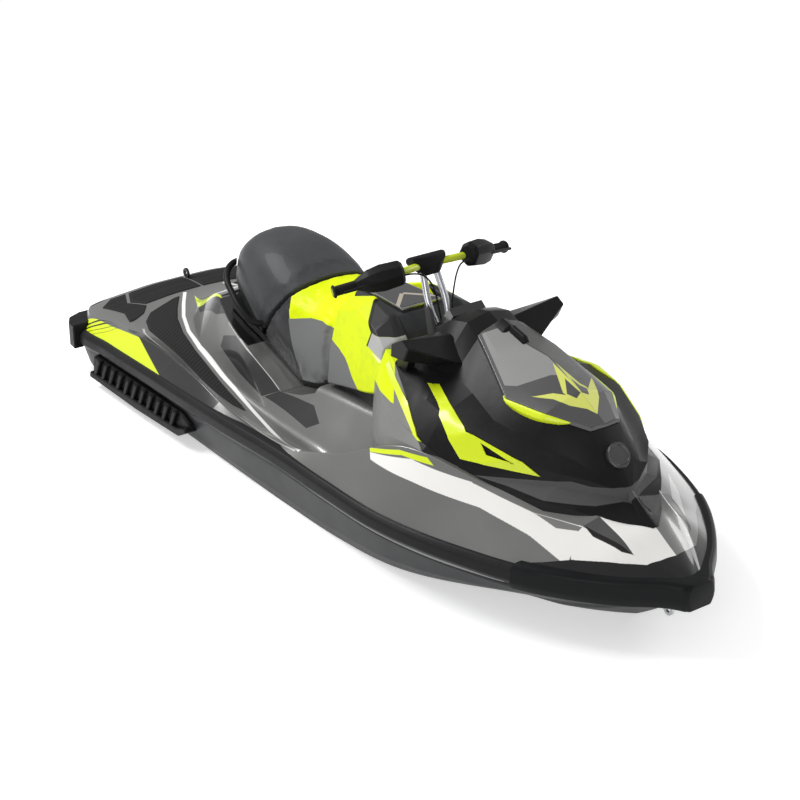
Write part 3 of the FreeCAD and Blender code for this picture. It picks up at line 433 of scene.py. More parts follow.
def net_object(name: str, grid: np.ndarray, smooth_angle: float = 40.0,
               capped: bool = True) -> Piece:
    """Object from a grid of points, sections first, each a loop.

    Args:
        name: Name of the piece.
        grid: Points by section and by place in the section.
        smooth_angle: Edges sharper than this many degrees stay sharp.
        capped: Whether the first and last sections are filled.

    Returns:
        The object.
    """
    rows, columns = grid.shape[:2]
    faces = grid_faces(rows, columns).tolist()
    if capped:
        faces += [list(range(columns))[::-1], list(range((rows - 1) * columns, rows * columns))]
    return make_object(name, grid, faces, smooth_angle)


def joined(name: str, pieces: Sequence[Piece]) -> Piece:
    """One object from several."""
    with bpy.context.temp_override(active_object=pieces[0], object=pieces[0],
                                   selected_objects=pieces, selected_editable_objects=pieces):
        bpy.ops.object.join()
    pieces[0].name = name
    return pieces[0]


def paired(name: str, *ports: Piece) -> Piece:
    """One object from port pieces and their starboard copies, with all faces turned outwards."""
    twins = [linked(f"{port.name}_twin", port.data.copy()) for port in ports]
    for twin in twins:
        twin.data.transform(((1, 0, 0, 0), (0, -1, 0, 0), (0, 0, 1, 0), (0, 0, 0, 1)))
        twin.data.flip_normals()
    return joined(name, [*ports, *twins])


def apply_modifiers(piece: Piece) -> None:
    """Puts the result of a piece's modifiers into its mesh."""
    view = bpy.context.evaluated_depsgraph_get()
    finished = bpy.data.meshes.new_from_object(piece.evaluated_get(view), depsgraph=view)
    piece.modifiers.clear()
    piece.data = finished


def bevelled(piece: Piece, width: float, steps: int = 3, angle: float = 18.0) -> Piece:
    """Rounds a piece's edges and keeps its flats flat.

    Args:
        piece: The piece.
        width: Width of the rounding.
        steps: Faces across the rounding.
        angle: Edges flatter than this many degrees are left.

    Returns:
        The piece.
    """
    bevel = piece.modifiers.new("Bevel", "BEVEL")
    bevel.width = width
    bevel.segments = steps
    bevel.limit_method = "ANGLE"
    bevel.angle_limit = math.radians(angle)
    bevel.harden_normals = True
    apply_modifiers(piece)
    piece.data.shade_smooth()
    return piece


def faceted(name: str, grid: np.ndarray, width: float, steps: int = 3,
            angle: float = 25.0) -> Piece:
    """Object from a grid of points whose corners are sharp but for a narrow rounding."""
    return bevelled(net_object(name, grid, FACET_ANGLE), width, steps, angle)


def upright(outline: np.ndarray, ends: Sequence[float], axis: int = 1) -> np.ndarray:
    """A flat outline set at places along the axis that it leaves out, one section a place."""
    return np.stack([np.insert(np.asarray(outline, float), axis, end, axis=1) for end in ends])


def stationed(places: Sequence[float], sections: np.ndarray) -> np.ndarray:
    """Flat sections across and up, each set at its own place along."""
    along = np.broadcast_to(np.asarray(places, float)[:, None, None], (*np.shape(sections)[:2], 1))
    return np.concatenate([along, sections], -1)


def centred(heights: Sequence[float]) -> np.ndarray:
    """Heights as pairs across and up, on the middle plane."""
    return np.column_stack([np.zeros(len(heights)), heights])


def carved(piece: Piece, cutters: Sequence[Piece]) -> Piece:
    """The piece without the cutters, which are removed."""
    for cutter in cutters:
        cut = piece.modifiers.new("Cut", "BOOLEAN")
        cut.operation = "DIFFERENCE"
        cut.solver = "EXACT"
        cut.object = cutter
    apply_modifiers(piece)
    for cutter in cutters:
        bpy.data.objects.remove(cutter)
    shade(piece)
    return piece


def block(name: str, low: Sequence[float], high: Sequence[float]) -> Piece:
    """Box between two corners, as a cutter or a block that is finished later."""
    low, high = np.array(low, float), np.array(high, float)
    grid = upright(((0, 0), (1, 0), (1, 1), (0, 1)), (0, 1), 0)
    return net_object(name, low + grid * (high - low), FACET_ANGLE)


def carried(points: np.ndarray, profile: np.ndarray, sizes: np.ndarray | float = 1.0) -> np.ndarray:
    """A flat profile carried along a path, at right angles to it.

    At each point the profile's first axis is level and across the path, and its second is square to both.

    Args:
        points: Points of the path.
        profile: Points of the profile.
        sizes: Scale of the profile at each point.

    Returns:
        Grid of points, one profile for each point of the path.
    """
    along = np.gradient(points, axis=0)
    along /= np.linalg.norm(along, axis=1, keepdims=True)
    across = np.cross(along, (0.0, 0.0, 1.0))
    across /= np.linalg.norm(across, axis=1, keepdims=True)
    above = np.cross(across, along)
    scale = np.broadcast_to(np.asarray(sizes, float).reshape(-1, 1, 1), (len(points), 1, 1))
    return (points[:, None] + across[:, None] * profile[None, :, :1] * scale
            + above[:, None] * profile[None, :, 1:] * scale)


def ring(radius: float, count: int) -> np.ndarray:
    """Points of a circle."""
    turn = np.linspace(0, 2 * math.pi, count, endpoint=False)
    return np.column_stack([np.cos(turn), np.sin(turn)]) * radius


def smooth_path(points: Shares, count: int) -> np.ndarray:
    """Points along a smooth path through corners, evenly spaced by the corners' straight distances."""
    corners = np.asarray(points, float)
    runs = np.linalg.norm(np.diff(corners, axis=0), axis=1)
    places = np.concatenate([[0], np.cumsum(runs)])
    return curved(places, corners, np.linspace(0, places[-1], count))


def pillow(grid: np.ndarray, radius: float, steps: int = 4, start: bool = True,
           end: bool = True) -> np.ndarray:
    """A grid whose first and last sections turn in along a quarter circle.

    Each added section is the end section shrunk towards its middle, by the circle's height, and moved out
    by the circle's width. The ends themselves stay where they were.

    Args:
        grid: Sections first, running along the first axis.
        radius: Radius of the quarter circle.
        steps: Added sections at each end.
        start: Whether the first end is rounded.
        end: Whether the last end is rounded.

    Returns:
        The longer grid.
    """
    turns = np.linspace(0, math.pi / 2, steps)
    parts = [grid]
    for wanted, row, sign in ((start, grid[0], 1), (end, grid[-1], -1)):
        if not wanted:
            continue
        middle = (row.min(0) + row.max(0)) / 2
        reach = np.maximum(np.abs(row - middle)[:, 1:].max(), radius)
        rows = []
        for turn in turns:
            shrink = 1 - radius * (1 - math.sin(turn)) / reach
            ringed = middle + (row - middle) * shrink
            ringed[:, 0] = row[:, 0] + sign * radius * (1 - math.cos(turn))
            rows.append(ringed)
        if sign > 0:
            parts = [np.stack(rows)] + [parts[0][grid[:, 0, 0] > row[0, 0] + radius]] + parts[1:]
        else:
            body = parts[-1]
            parts = parts[:-1] + [body[body[:, 0, 0] < row[0, 0] - radius], np.stack(rows[::-1])]
    return np.concatenate(parts)


@dataclass(frozen=True)
class Craft:
    """Driving sizes of the craft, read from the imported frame."""

    stern: float
    keel: float
    length: float
    half_beam: float
    height: float

    @classmethod
    def measured(cls) -> "Craft":
        """Reads stern, bow, keel, half beam and height from the nodes' boxes."""
        hull_low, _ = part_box("lower_hull")
        _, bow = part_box("bow_bumper")
        _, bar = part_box("bar_pad")
        bar_share, rail_share = 1.0053, 0.9977
        return cls(hull_low.x, hull_low.z, bow.x - hull_low.x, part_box("rub_rails")[1].y / rail_share,
                   (bar.z - hull_low.z) / bar_share)

    def along(self, share: float) -> float:
        """Place along the craft from a share of its length."""
        return self.stern + share * self.length

    def up(self, share: float) -> float:
        """Height from a share of the craft's height."""
        return self.keel + share * self.height

    def at(self, shares: np.ndarray) -> np.ndarray:
        """Points in the frame from shares of length, half beam and height."""
        scale = np.array([self.length, self.half_beam, self.height])
        return np.asarray(shares, float) * scale + np.array([self.stern, 0, self.keel])

    def side_view(self, shares: Shares) -> list:
        """Points along and up, from shares of length and height."""
        return [(self.along(x), self.up(z)) for x, z in shares]

    def top_view(self, shares: Shares) -> list:
        """Points along and across, from shares of length and half beam."""
        return [(self.along(x), y * self.half_beam) for x, y in shares]

    def net(self, stations: Sequence[float], lines: Sequence[Shares]) -> np.ndarray:
        """Control net from stations and lines of shares across and up, sections first."""
        return self.at(stationed(stations, np.stack([np.asarray(line, float) for line in lines], 1)))

    def flowing(self, net: np.ndarray, count: int) -> np.ndarray:
        """A control net made dense along the craft, with smooth lines through its stations."""
        stations = net[:, 0, 0]
        at = np.linspace(stations[0], stations[-1], count)
        dense = curved(stations, net, at)
        dense[..., 0] = at[:, None]
        return dense


# Finishes


def toned(colour: Colour, factor: float) -> Colour:
    """A colour made darker or lighter by a factor."""
    return tuple(min(1.0, channel * factor) for channel in colour)


@dataclass(frozen=True)
class Moulded:
    """Moulded plastic or rubber: pebbled grain, slow mottling and patches handled duller than the rest."""

    name: str
    colour: Colour
    roughness: float = 0.5
    grain: float = 900.0
    depth: float = 0.08 * MM
    coat: float = 0.0
    shine: float = 0.10

    @staticmethod
    def waves(g: Graph) -> tuple[Signal, Signal]:
        """Slow and fine noise all over the surface."""
        return g.noise(6.0, 3.0), g.noise(45.0, 3.0)

    def tone(self, g: Graph, colour: Colour) -> Signal:
        """A colour with its slow and fine mottling."""
        slow, fine = self.waves(g)
        return g.mix(slow * 0.6 + fine * 0.4, toned(colour, 0.72), toned(colour, 1.28))

    def paint(self, g: Graph, colour: Signal) -> Material:
        """Finishes a graph whose colour is already mixed."""
        slow, fine = self.waves(g)
        worn = (fine * slow).above(0.33, 0.2)
        roughness = worn * 0.1 + slow * 0.12 + (self.roughness - 0.1)
        normal = g.bump(g.cells(self.grain), self.depth)
        return g.finish({"Base Color": colour, "Roughness": roughness, "Coat Weight": self.coat,
                         "Specular IOR Level": self.shine, "Normal": normal})

    def material(self) -> Material:
        """Builds the material."""
        g = Graph(self.name)
        return self.paint(g, self.tone(g, self.colour))


@dataclass(frozen=True)
class Gloss:
    """Gloss paint or gelcoat: metal flakes under a clear coat that ripples slightly."""

    name: str
    colour: Colour
    metallic: float = 0.0
    roughness: float = 0.35
    coat: float = 0.8
    flakes: float = 1500.0
    shine: float = 0.5

    def paint(self, g: Graph, colour: Signal, flat: Signal | None = None) -> Material:
        """Finishes a graph whose colour is already mixed.

        Args:
            g: The graph.
            colour: Colour all over the surface.
            flat: Mask of solid colour, which has no metal in it.

        Returns:
            The material.
        """
        ripple = g.bump(g.noise(26.0, 2.0), 0.10 * MM)
        roughness = g.noise(11.0, 3.0) * 0.12 + (self.roughness - 0.06)
        metal = (1 - flat) * self.metallic if flat else self.metallic
        return g.finish({"Base Color": colour, "Metallic": metal, "Roughness": roughness,
                         "Coat Weight": self.coat, "Coat Roughness": 0.06, "Normal": ripple,
                         "Specular IOR Level": self.shine})

    def tone(self, g: Graph, colour: Colour) -> Signal:
        """A colour with its flakes lighter and darker."""
        sparkle = g.cells(self.flakes) * 0.7 + g.noise(5.0, 3.0) * 0.3
        return g.mix(sparkle, toned(colour, 0.86), toned(colour, 1.14))

    def material(self) -> Material:
        """Builds the material."""
        g = Graph(self.name)
        return self.paint(g, self.tone(g, self.colour))


@dataclass(frozen=True)
class Cast:
    """Bare or coated metal: cast grain, drawn lines along an axis and roughness that varies in slow patches.
    """

    name: str
    colour: Colour
    roughness: float = 0.35
    lines: float = 0.0
    grain: float = 700.0

    def material(self) -> Material:
        """Builds the material."""
        g = Graph(self.name)
        drawn = g.noise(160.0, 2.0, (0.04, 1.0, 1.0))
        slow = g.noise(14.0, 4.0)
        tone = g.mix(slow * 0.7 + drawn * 0.3, toned(self.colour, 0.78), toned(self.colour, 1.14))
        height = g.cells(self.grain) * (1 - self.lines) + drawn * self.lines
        return g.finish({"Base Color": tone, "Metallic": 1.0, "Normal": g.bump(height, 0.06 * MM),
                         "Roughness": slow * 0.16 + drawn * 0.1 + (self.roughness - 0.12)})


BLACK_PLASTIC = Moulded("black_plastic", (0.011, 0.011, 0.0115), 0.42, 900, 0.06 * MM)
FAIRING_PLASTIC = Moulded("fairing_plastic", (0.011, 0.011, 0.0115), 0.36, 1000, 0.04 * MM, 0.0, 0.12)
SILVER: Colour = (0.190, 0.192, 0.186)
ACID_YELLOW: Colour = (0.66, 0.80, 0.005)
PALE_YELLOW: Colour = (0.86, 0.88, 0.45)
WHITE: Colour = (0.84, 0.83, 0.80)
CHARCOAL: Colour = (0.030, 0.030, 0.031)
BLACK: Colour = (0.006, 0.006, 0.006)


class View(Enum):
    """Planes in which an outline is drawn."""

    SIDE = "side"
    TOP = "top"


class Side(Enum):
    """Sides of the craft that carry a decal."""

    BOTH = "both"
    PORT = "port"
    STARBOARD = "starboard"


@dataclass(frozen=True)
class Decal:
    """A painted convex outline, drawn from the side or from above and seen through the whole surface."""

    colour: Colour
    outline: Shares
    view: View = View.SIDE
    side: Side = Side.BOTH
    within: float = 2.0

    def mask(self, g: Graph, craft: Craft) -> Signal:
        """Mask of the outline on its side of the craft, within a share of the half beam."""
        x, y, z = (g.axis(name) for name in "XYZ")
        across = z if self.view is View.SIDE else y.size()
        corners = craft.side_view(self.outline) if self.view is View.SIDE else craft.top_view(self.outline)
        flat = np.array(corners)
        ahead = np.roll(flat, -1, 0)
        if (flat[:, 0] * ahead[:, 1] - flat[:, 1] * ahead[:, 0]).sum() < 0:
            corners = corners[::-1]
        found = g.patch(x, across, corners)
        if self.within < 1:
            found = found & (1 - y.size().above(self.within * craft.half_beam, 1 * MM))
        if self.side is Side.BOTH:
            return found
        port = y.above(0, 1 * MM)
        return found & (port if self.side is Side.PORT else 1 - port)


def decorated(g: Graph, craft: Craft, base: Signal, decals: Sequence[Decal]) -> Signal:
    """Paints decals over a colour, later ones on top.

    Args:
        g: The graph.
        craft: The craft's sizes.
        base: Colour below.
        decals: The decals.

    Returns:
        The colour.
    """
    for decal in decals:
        base = g.mix(decal.mask(g, craft), base, decal.colour)
    return base


def thin_line(craft: Craft, colour: Colour, points: Shares, width: float,
              view: View = View.TOP) -> list[Decal]:
    """Decals that draw a line of one width through points.

    Args:
        craft: The craft's sizes.
        colour: Colour of the line.
        points: Corners of the line, as shares.
        width: Width of the line.
        view: Plane that it is drawn in.

    Returns:
        One decal for each stretch.
    """
    scale = np.array([craft.length, craft.half_beam if view is View.TOP else craft.height])
    line = np.asarray(points, float) * scale
    parts = []
    for start, end in zip(line, line[1:]):
        run = (end - start) / np.hypot(*(end - start))
        aside = np.array([-run[1], run[0]]) * width / 2
        start, end = start - run * width / 4, end + run * width / 4
        corners = (start - aside, end - aside, end + aside, start + aside)
        parts.append(Decal(colour, tuple(tuple(corner / scale) for corner in corners), view))
    return parts


# Sub-assemblies


@dataclass
class Assembly:
    """What every sub-assembly knows: the craft's sizes, the finishes made so far and the frame's solids."""

    craft: Craft
    finishes: dict = field(default_factory=dict)
    nodes: dict = field(default_factory=dict)

    def finish(self, finish: Moulded | Gloss | Cast) -> Material:
        """The material of a finish, made once."""
        if finish.name not in self.finishes:
            self.finishes[finish.name] = finish.material()
        return self.finishes[finish.name]

    def fit(self, piece: Piece, body: Body, slot: str, material: Material,
            *nodes: str) -> Piece:
        """Dresses a piece, lets it ride on a body and puts it in place of its plain solids.

        Args:
            piece: The finished piece.
            body: Body that it rides on.
            slot: Material slot of the record; not used.
            material: Its material.
            nodes: Plain solids that it stands for.

        Returns:
            The piece.
        """
        if not piece.data.materials:
            piece.data.materials.append(material)
        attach(piece, body.value)
        if nodes:
            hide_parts(*nodes)
        LOG.info("%s: %d faces on %s", piece.name, len(piece.data.polygons), body.value)
        return piece

    def painted(self, finish: Moulded | Gloss, decals: Sequence[Decal]) -> Material:
        """A finish with decals painted over its colour."""
        g = Graph(finish.name)
        return finish.paint(g, decorated(g, self.craft, finish.tone(g, finish.colour), decals))

    def dress(self, material: Material, *nodes: str) -> None:
        """Gives the frame's own solids a better material."""
        for node in nodes:
            solid = self.nodes[node]
            solid.data.materials.clear()
            solid.data.materials.append(material)
            LOG.info("%s: dressed as %s", node, material.name)


@dataclass
class BodyForm(Assembly):
    """Shared lines of hull and deck: one entry a station, as shares of length, half beam and height."""

    stations: Shares = (0, .025, .10, .20, .30, .40, .50, .60, .70, .80, .90, .93, .95, .985)
    rail: Shares = ((.80, .340), (.875, .341), (.895, .347), (.906, .356), (.927, .369), (.944, .382),
                    (.939, .391), (.952, .395), (.939, .395), (.82, .395), (.563, .387), (.436, .385),
                    (.335, .384), (.11, .382))
    keel: Sequence[float] = (0, 0, 0, 0, 0, 0, 0, 0, .009, .05, .145, .202, .245, .315)
    chine: Shares = ((.70, .16), (.78, .16), (.80, .16), (.81, .158), (.82, .156), (.82, .15), (.82, .143),
                     (.815, .15), (.79, .178), (.68, .235), (.43, .288), (.316, .299), (.23, .305),
                     (.06, .3175))
    crown: Sequence[float] = (.417, .426, .44, .58, .545, .483, .51, .545, .598, .556, .507, .487, .4525,
                              .397)
    top_edge: Shares = ((.196, .4165), (.196, .425), (.196, .435), (.327, .567), (.457, .536), (.44, .479),
                        (.44, .50), (.44, .527), (.408, .595), (.245, .555), (.082, .507), (.06, .486),
                        (.05, .4517), (.02, .396))
    pedestal: Shares = ((.278, .415), (.278, .422), (.294, .417), (.49, .387), (.563, .347), (.612, .334),
                        (.653, .350), (.669, .360), (.62, .591), (.408, .552), (.13, .506), (.095, .484),
                        (.082, .45), (.033, .395))
    floor: Shares = ((.588, .40), (.62, .404), (.637, .395), (.653, .378), (.751, .346), (.767, .341),
                     (.735, .350), (.735, .366), (.702, .590), (.473, .549), (.163, .505), (.13, .48),
                     (.114, .446), (.046, .3945))
    gunwale: Shares = ((.686, .395), (.735, .40), (.751, .406), (.767, .413), (.80, .404), (.841, .378),
                       (.841, .387), (.824, .466), (.743, .598), (.522, .548), (.196, .505), (.17, .477),
                       (.147, .443), (.059, .394))
    ridge: Shares = ((.751, .387), (.808, .391), (.824, .413), (.824, .438), (.849, .427), (.882, .395),
                     (.89, .397), (.857, .479), (.756, .600), (.547, .547), (.22, .506), (.205, .473),
                     (.18, .438), (.072, .392))
    deck_radii: Sequence[float] = (.009, .014, .022, .024, .020)
    bond: float = 0.3269
    side_drop: float = 0.0747
    bay_half: float = 200 * MM
    sections: int = 230

    def net(self) -> np.ndarray:
        """Dense net with all the lines: bottom, side and rail, then gunwale, footwell and crown."""
        craft = self.craft
        keel, chine, rail = centred(self.keel), np.array(self.chine), np.array(self.rail)
        shoulder = rail - (0, self.side_drop)
        strakes = [between(keel, chine, share) for share in ((.48, .44), (.55, .57))]
        side = [between(chine, shoulder, share) for share in ((.27, .125), (.60, .375))]
        lines = [keel, *strakes, chine, *side, shoulder, rail, self.ridge, self.gunwale, self.floor,
                 self.pedestal, self.top_edge, centred(self.crown)]
        return craft.flowing(craft.net(self.stations, lines), self.sections)

    def bay_cutter(self, top: float) -> Piece:
        """Cutter for the engine bay, from the engine's foot up to a height."""
        low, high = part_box("engine_block")
        return block("bay_cut", (low.x - 30 * MM, -self.bay_half, low.z),
                     (high.x + 50 * MM, self.bay_half, top))


@dataclass
class Hull(BodyForm):
    """The hull below the joint: stepped bottom, hard chine and a darker lower band."""

    colour: Colour = (0.019, 0.020, 0.022)
    band_colour: Colour = (0.0085, 0.009, 0.0098)
    band_top: float = .215
    cutter_length: float = 400 * MM
    cutter_lap: float = 26 * MM
    tunnel_half: float = 115 * MM
    tunnel_height: float = 268 * MM
    intake_half: float = 95 * MM
    notch_past: float = 20 * MM
    roof_thickness: float = 20 * MM
    corner_radii: Sequence[float] = (.010, .010, .009, .007, .007, .022, .004)
    stern_radius: float = 14 * MM

    def build(self) -> None:
        """Builds and fits the hull."""
        net = self.net()[:, :8]
        top = self.craft.up(self.bond)
        half = net.copy()
        lid = np.stack([net[:, -1, 0], np.zeros(len(net)), np.full(len(net), top)], -1)
        half[:, -1, 2] = top
        half = np.concatenate([half, lid[:, None]], 1)
        grid = both_sides(rounded(half, np.array(self.corner_radii), 4, False))
        piece = net_object("hull_shell", pillow(grid, self.stern_radius, end=False))
        carved(piece, [*self.cutters(), *self.plug_cutters()])
        self.fit(piece, Body.HULL, "hull_gelcoat", self.material(), "lower_hull")

    def cutters(self) -> list[Piece]:
        """Cutters for the engine bay, the pump's notch and tunnel and the intake."""
        craft, over, lap = self.craft, self.cutter_length, self.cutter_lap
        tunnel_half, intake_half = self.tunnel_half, self.intake_half
        below, tunnel_top = craft.keel - over, craft.keel + self.tunnel_height
        roof = craft.up(self.bond) - self.roof_thickness
        pump_low, pump_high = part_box("pump_housing")
        notch_end = pump_low.x + self.notch_past
        tunnel_end, intake_end = notch_end + over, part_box("intake_grate")[1].x
        return [
            self.bay_cutter(craft.up(1)),
            block("notch_cut", (craft.stern - over, -self.bay_half, below), (notch_end, self.bay_half, roof)),
            block("tunnel_cut", (notch_end - lap, -tunnel_half, below),
                  (tunnel_end, tunnel_half, tunnel_top)),
            block("intake_cut", (tunnel_end - lap, -intake_half, below),
                  (intake_end, intake_half, pump_high.z)),
        ]

    @staticmethod
    def plug_cutters() -> list[Piece]:
        """Cutters for the two drain plugs in the transom."""
        low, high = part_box("drain_plugs")
        half = (high.z - low.z) / 2
        return [block(f"plug_cut_{side}", (low.x - half, side * (high.y - half) - half, low.z),
                      (high.x, side * (high.y - half) + half, high.z)) for side in (-1, 1)]

    def material(self) -> Material:
        """Charcoal flaked gelcoat with a darker band below the side's crease."""
        paint = Gloss("charcoal_gelcoat", self.colour, 0.0, 0.48, 0.06, shine=0.25)
        g = Graph(paint.name)
        low = 1 - g.axis("Z").above(self.craft.up(self.band_top), 3 * MM)
        colour = g.mix(low, paint.tone(g, self.colour), self.band_colour)
        return paint.paint(g, colour)


@dataclass
class Deck(BodyForm):
    """The deck above the joint, with gunwales, footwells and the pedestal under the seat."""

    stern_radius: float = 16 * MM
    seat_room: float = 26.3 * MM

    def build(self) -> None:
        """Builds and fits the deck."""
        net = self.net()[:, 7:]
        base = self.craft.up(self.bond)
        foot = net[:, :1].copy()
        foot[..., 2] = base
        centre = foot.copy()
        centre[..., 1] = 0
        half = np.concatenate([centre, foot, np.maximum(net, (-9, -9, base + 2 * MM))], 1)
        radii = np.array([.001, .003, *self.deck_radii])
        grid = both_sides(rounded(half, radii, 5, False))
        piece = net_object("deck_shell", pillow(grid, self.stern_radius, end=False))
        carved(piece, self.cutters())
        self.fit(piece, Body.HULL, "deck_gelcoat", self.material(), "upper_deck")

    def cutters(self) -> list[Piece]:
        """Cutters for the engine bay, the storage bin's well and the seat's room."""
        low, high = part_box("storage_bin")
        gap, top = BIN_GAP, self.craft.up(2)
        line = seat_line(self.craft, -self.seat_room)
        outline = [*line, (line[-1, 0], top), (line[0, 0], top)]
        return [
            self.bay_cutter(top),
            block("bin_cut", (low.x - gap, low.y - gap, low.z - gap), (high.x + gap, high.y + gap, top)),
            net_object("seat_cut", upright(outline, CUT_SIDES), FACET_ANGLE),
        ]

    def material(self) -> Material:
        """Silver flaked gelcoat with its decals."""
        paint = Gloss("silver_gelcoat", SILVER, 0.55, 0.32, 0.8)
        g = Graph(paint.name)
        colour = decorated(g, self.craft, paint.tone(g, SILVER), self.livery())
        return paint.paint(g, colour, colour.above(0.33, 0.05))

    def livery(self) -> list[Decal]:
        """Decals of the deck: white flank band and bow, slit vent in painted light and shade, the stern's
        wedges, and footwell lines that are painted highlights.
        """
        starboard, port = Side.STARBOARD, Side.PORT
        top = View.TOP
        decals = [
            Decal(WHITE, ((.6600, .523), (.723, .516), (.716, .5728), (.712, .5734), (.655, .540))),
            Decal(WHITE, ((.719, .517), (.802, .4945), (.779, .5515), (.712, .5734))),
            # Painted shade: the forward band and the bow's white are on starboard only, so the port bow keeps
            # the darker silver where the real white lies in shade.
            Decal(WHITE, ((.798, .496), (.858, .4530), (.8477, .5005), (.775, .553)), side=starboard),
            Decal(WHITE, ((.854, .456), (.9025, .408), (.8885, .4885), (.8437, .5035)), side=starboard),
            Decal(WHITE, ((.8844, .3913), (.9421, .2097), (.9600, .175), (.935, .36), (.905, .47)),
                  top, starboard),
            Decal(WHITE, ((.8850, .3250), (.9421, .2097), (.9544, .189), (.906, .432), (.8820, .4000)),
                  top, starboard),
            Decal(WHITE, ((.8935, .224), (.9421, .2097), (.966, .170), (.975, 0), (.93, 0)), top, starboard),
            # Painted highlight: a light grey sliver on the port bow stands for a reflection along a crease.
            Decal((0.55, 0.55, 0.55), ((.845, .53), (.905, .26), (.9483, .1612), (.915, .30), (.875, .46)),
                  top, port),
            # Painted light and shade of the vent, which is not cut: this lighter grey facet and the black
            # slit two decals on stand for its lit face and its shaded opening.
            Decal((0.24, 0.24, 0.235), ((.8444, .5027), (.8882, .4872), (.888, .4784), (.8698, .4781)),
                  side=starboard),
            Decal((0.09, 0.09, 0.09), ((.8935, .224), (.9421, .2097), (.8885, .3062)), top),
            Decal(BLACK, ((.8870, .310), (.9421, .2097), (.9328, .2504), (.9020, .310)), top),
            Decal(ACID_YELLOW, ((.655, .541), (.700, .5745), (.695, .586), (.652, .550))),
            Decal(ACID_YELLOW, ((.700, .5745), (.738, .573), (.728, .590), (.695, .586))),
            Decal(ACID_YELLOW, ((-.03, .96), (.0215, .838), (.045, .836), (.0636, .832), (.098, .822),
                                (.1465, .8108), (.2353, .9078), (.238, .96)), top),
            Decal(CHARCOAL, ((.1465, .8108), (.1606, .7423), (.2511, .8026), (.2353, .9078)), top),
            Decal(CHARCOAL, ((.2353, .9078), (.2511, .8026), (.366, .88), (.366, .96), (.238, .96)), top),
            Decal(ACID_YELLOW, ((.082, .14), (.2204, .3416), (.1328, .277)), top),
            Decal(CHARCOAL, ((.1328, .277), (.155, .33), (.215, .395), (.2562, .4091), (.2204, .3416)), top)]
        lean = 0.052
        for place, width in ((.0315, .0062), (.0455, .0050), (.0595, .0020), (.0715, .0012)):
            near, far = place - width / 2, place + width / 2
            decals.append(Decal(CHARCOAL, ((near - lean, .96), (far - lean, .96), (far + lean, .80),
                                           (near + lean, .80)), top))
        edge = ((0, 0), (0, .97), (.022, .97), (.020, .86), (.0085, .70), (.006, 0))
        decals.append(Decal(BLACK, edge, top))
        # Painted highlights: the pale line along the footwell's inner edge and the silver lines along the
        # gunwale and the pedestal's top edge stand for the shine on those edges.
        pale, silver = (0.80, 0.80, 0.78), (0.50, 0.50, 0.49)
        inner = ((.064, .162), (.0928, .2645), (.1214, .357), (.1598, .4418), (.2061, .5042), (.2752, .5601),
                 (.3114, .586), (.3505, .6242), (.3979, .678), (.4505, .746), (.5367, .886))
        outer = ((.118, .665), (.1332, .7028), (.1622, .7335), (.203, .7638), (.2408, .785), (.30, .800),
                 (.36, .825), (.42, .860), (.4667, .8739), (.53, .895))
        pedestal = ((.2565, .5287), (.2742, .5177), (.2906, .5074), (.3151, .4871), (.3524, .4514),
                    (.3886, .4183))
        decals += thin_line(self.craft, pale, inner, 15 * MM)
        decals += thin_line(self.craft, silver, outer, 9 * MM)
        decals += thin_line(self.craft, silver, pedestal, 7 * MM, View.SIDE)
        decals += [
            Decal(CHARCOAL, ((.2516, .438), (.2516, .477), (.2807, .5062), (.3258, .4769), (.3914, .4157),
                             (.3643, .3736), (.3091, .3995)), within=.66),
            Decal(CHARCOAL, ((.3700, .3780), (.3914, .4157), (.462, .4380), (.488, .4081), (.4700, .3760)),
                  within=.66),
            Decal(BLACK, ((.18, .62), (.2131, .5559), (.2603, .5264), (.3071, .4948), (.34, .52), (.25, .70),
                          (.18, .70)), within=.47)]
        middle = np.array([.80, 0])
        edge = np.array([(.845, .745), (.8625, .6701), (.8828, .5691), (.9018, .4583), (.9234, .3586),
                         (.9393, .2795), (.9557, .1798), (.9596, .1006), (.9619, 0)])
        for near, far in zip(edge, edge[1:]):
            far = far + (far - near) * 0.1
            beyond = [middle + (point - middle) * 1.6 for point in (far, near)]
            decals.append(Decal(BLACK, (tuple(near), tuple(far), *map(tuple, beyond)), top))
        return decals


def seat_line(craft: Craft, lift: float = 0.0) -> np.ndarray:
    """Line on which the seat stands, along and up, raised by a lift."""
    shares = np.array([(.205, .590), (.300, .530), (.360, .472), (.395, .440), (.430, .462), (.452, .490)])
    return np.array(craft.side_view(shares)) + (0, lift)


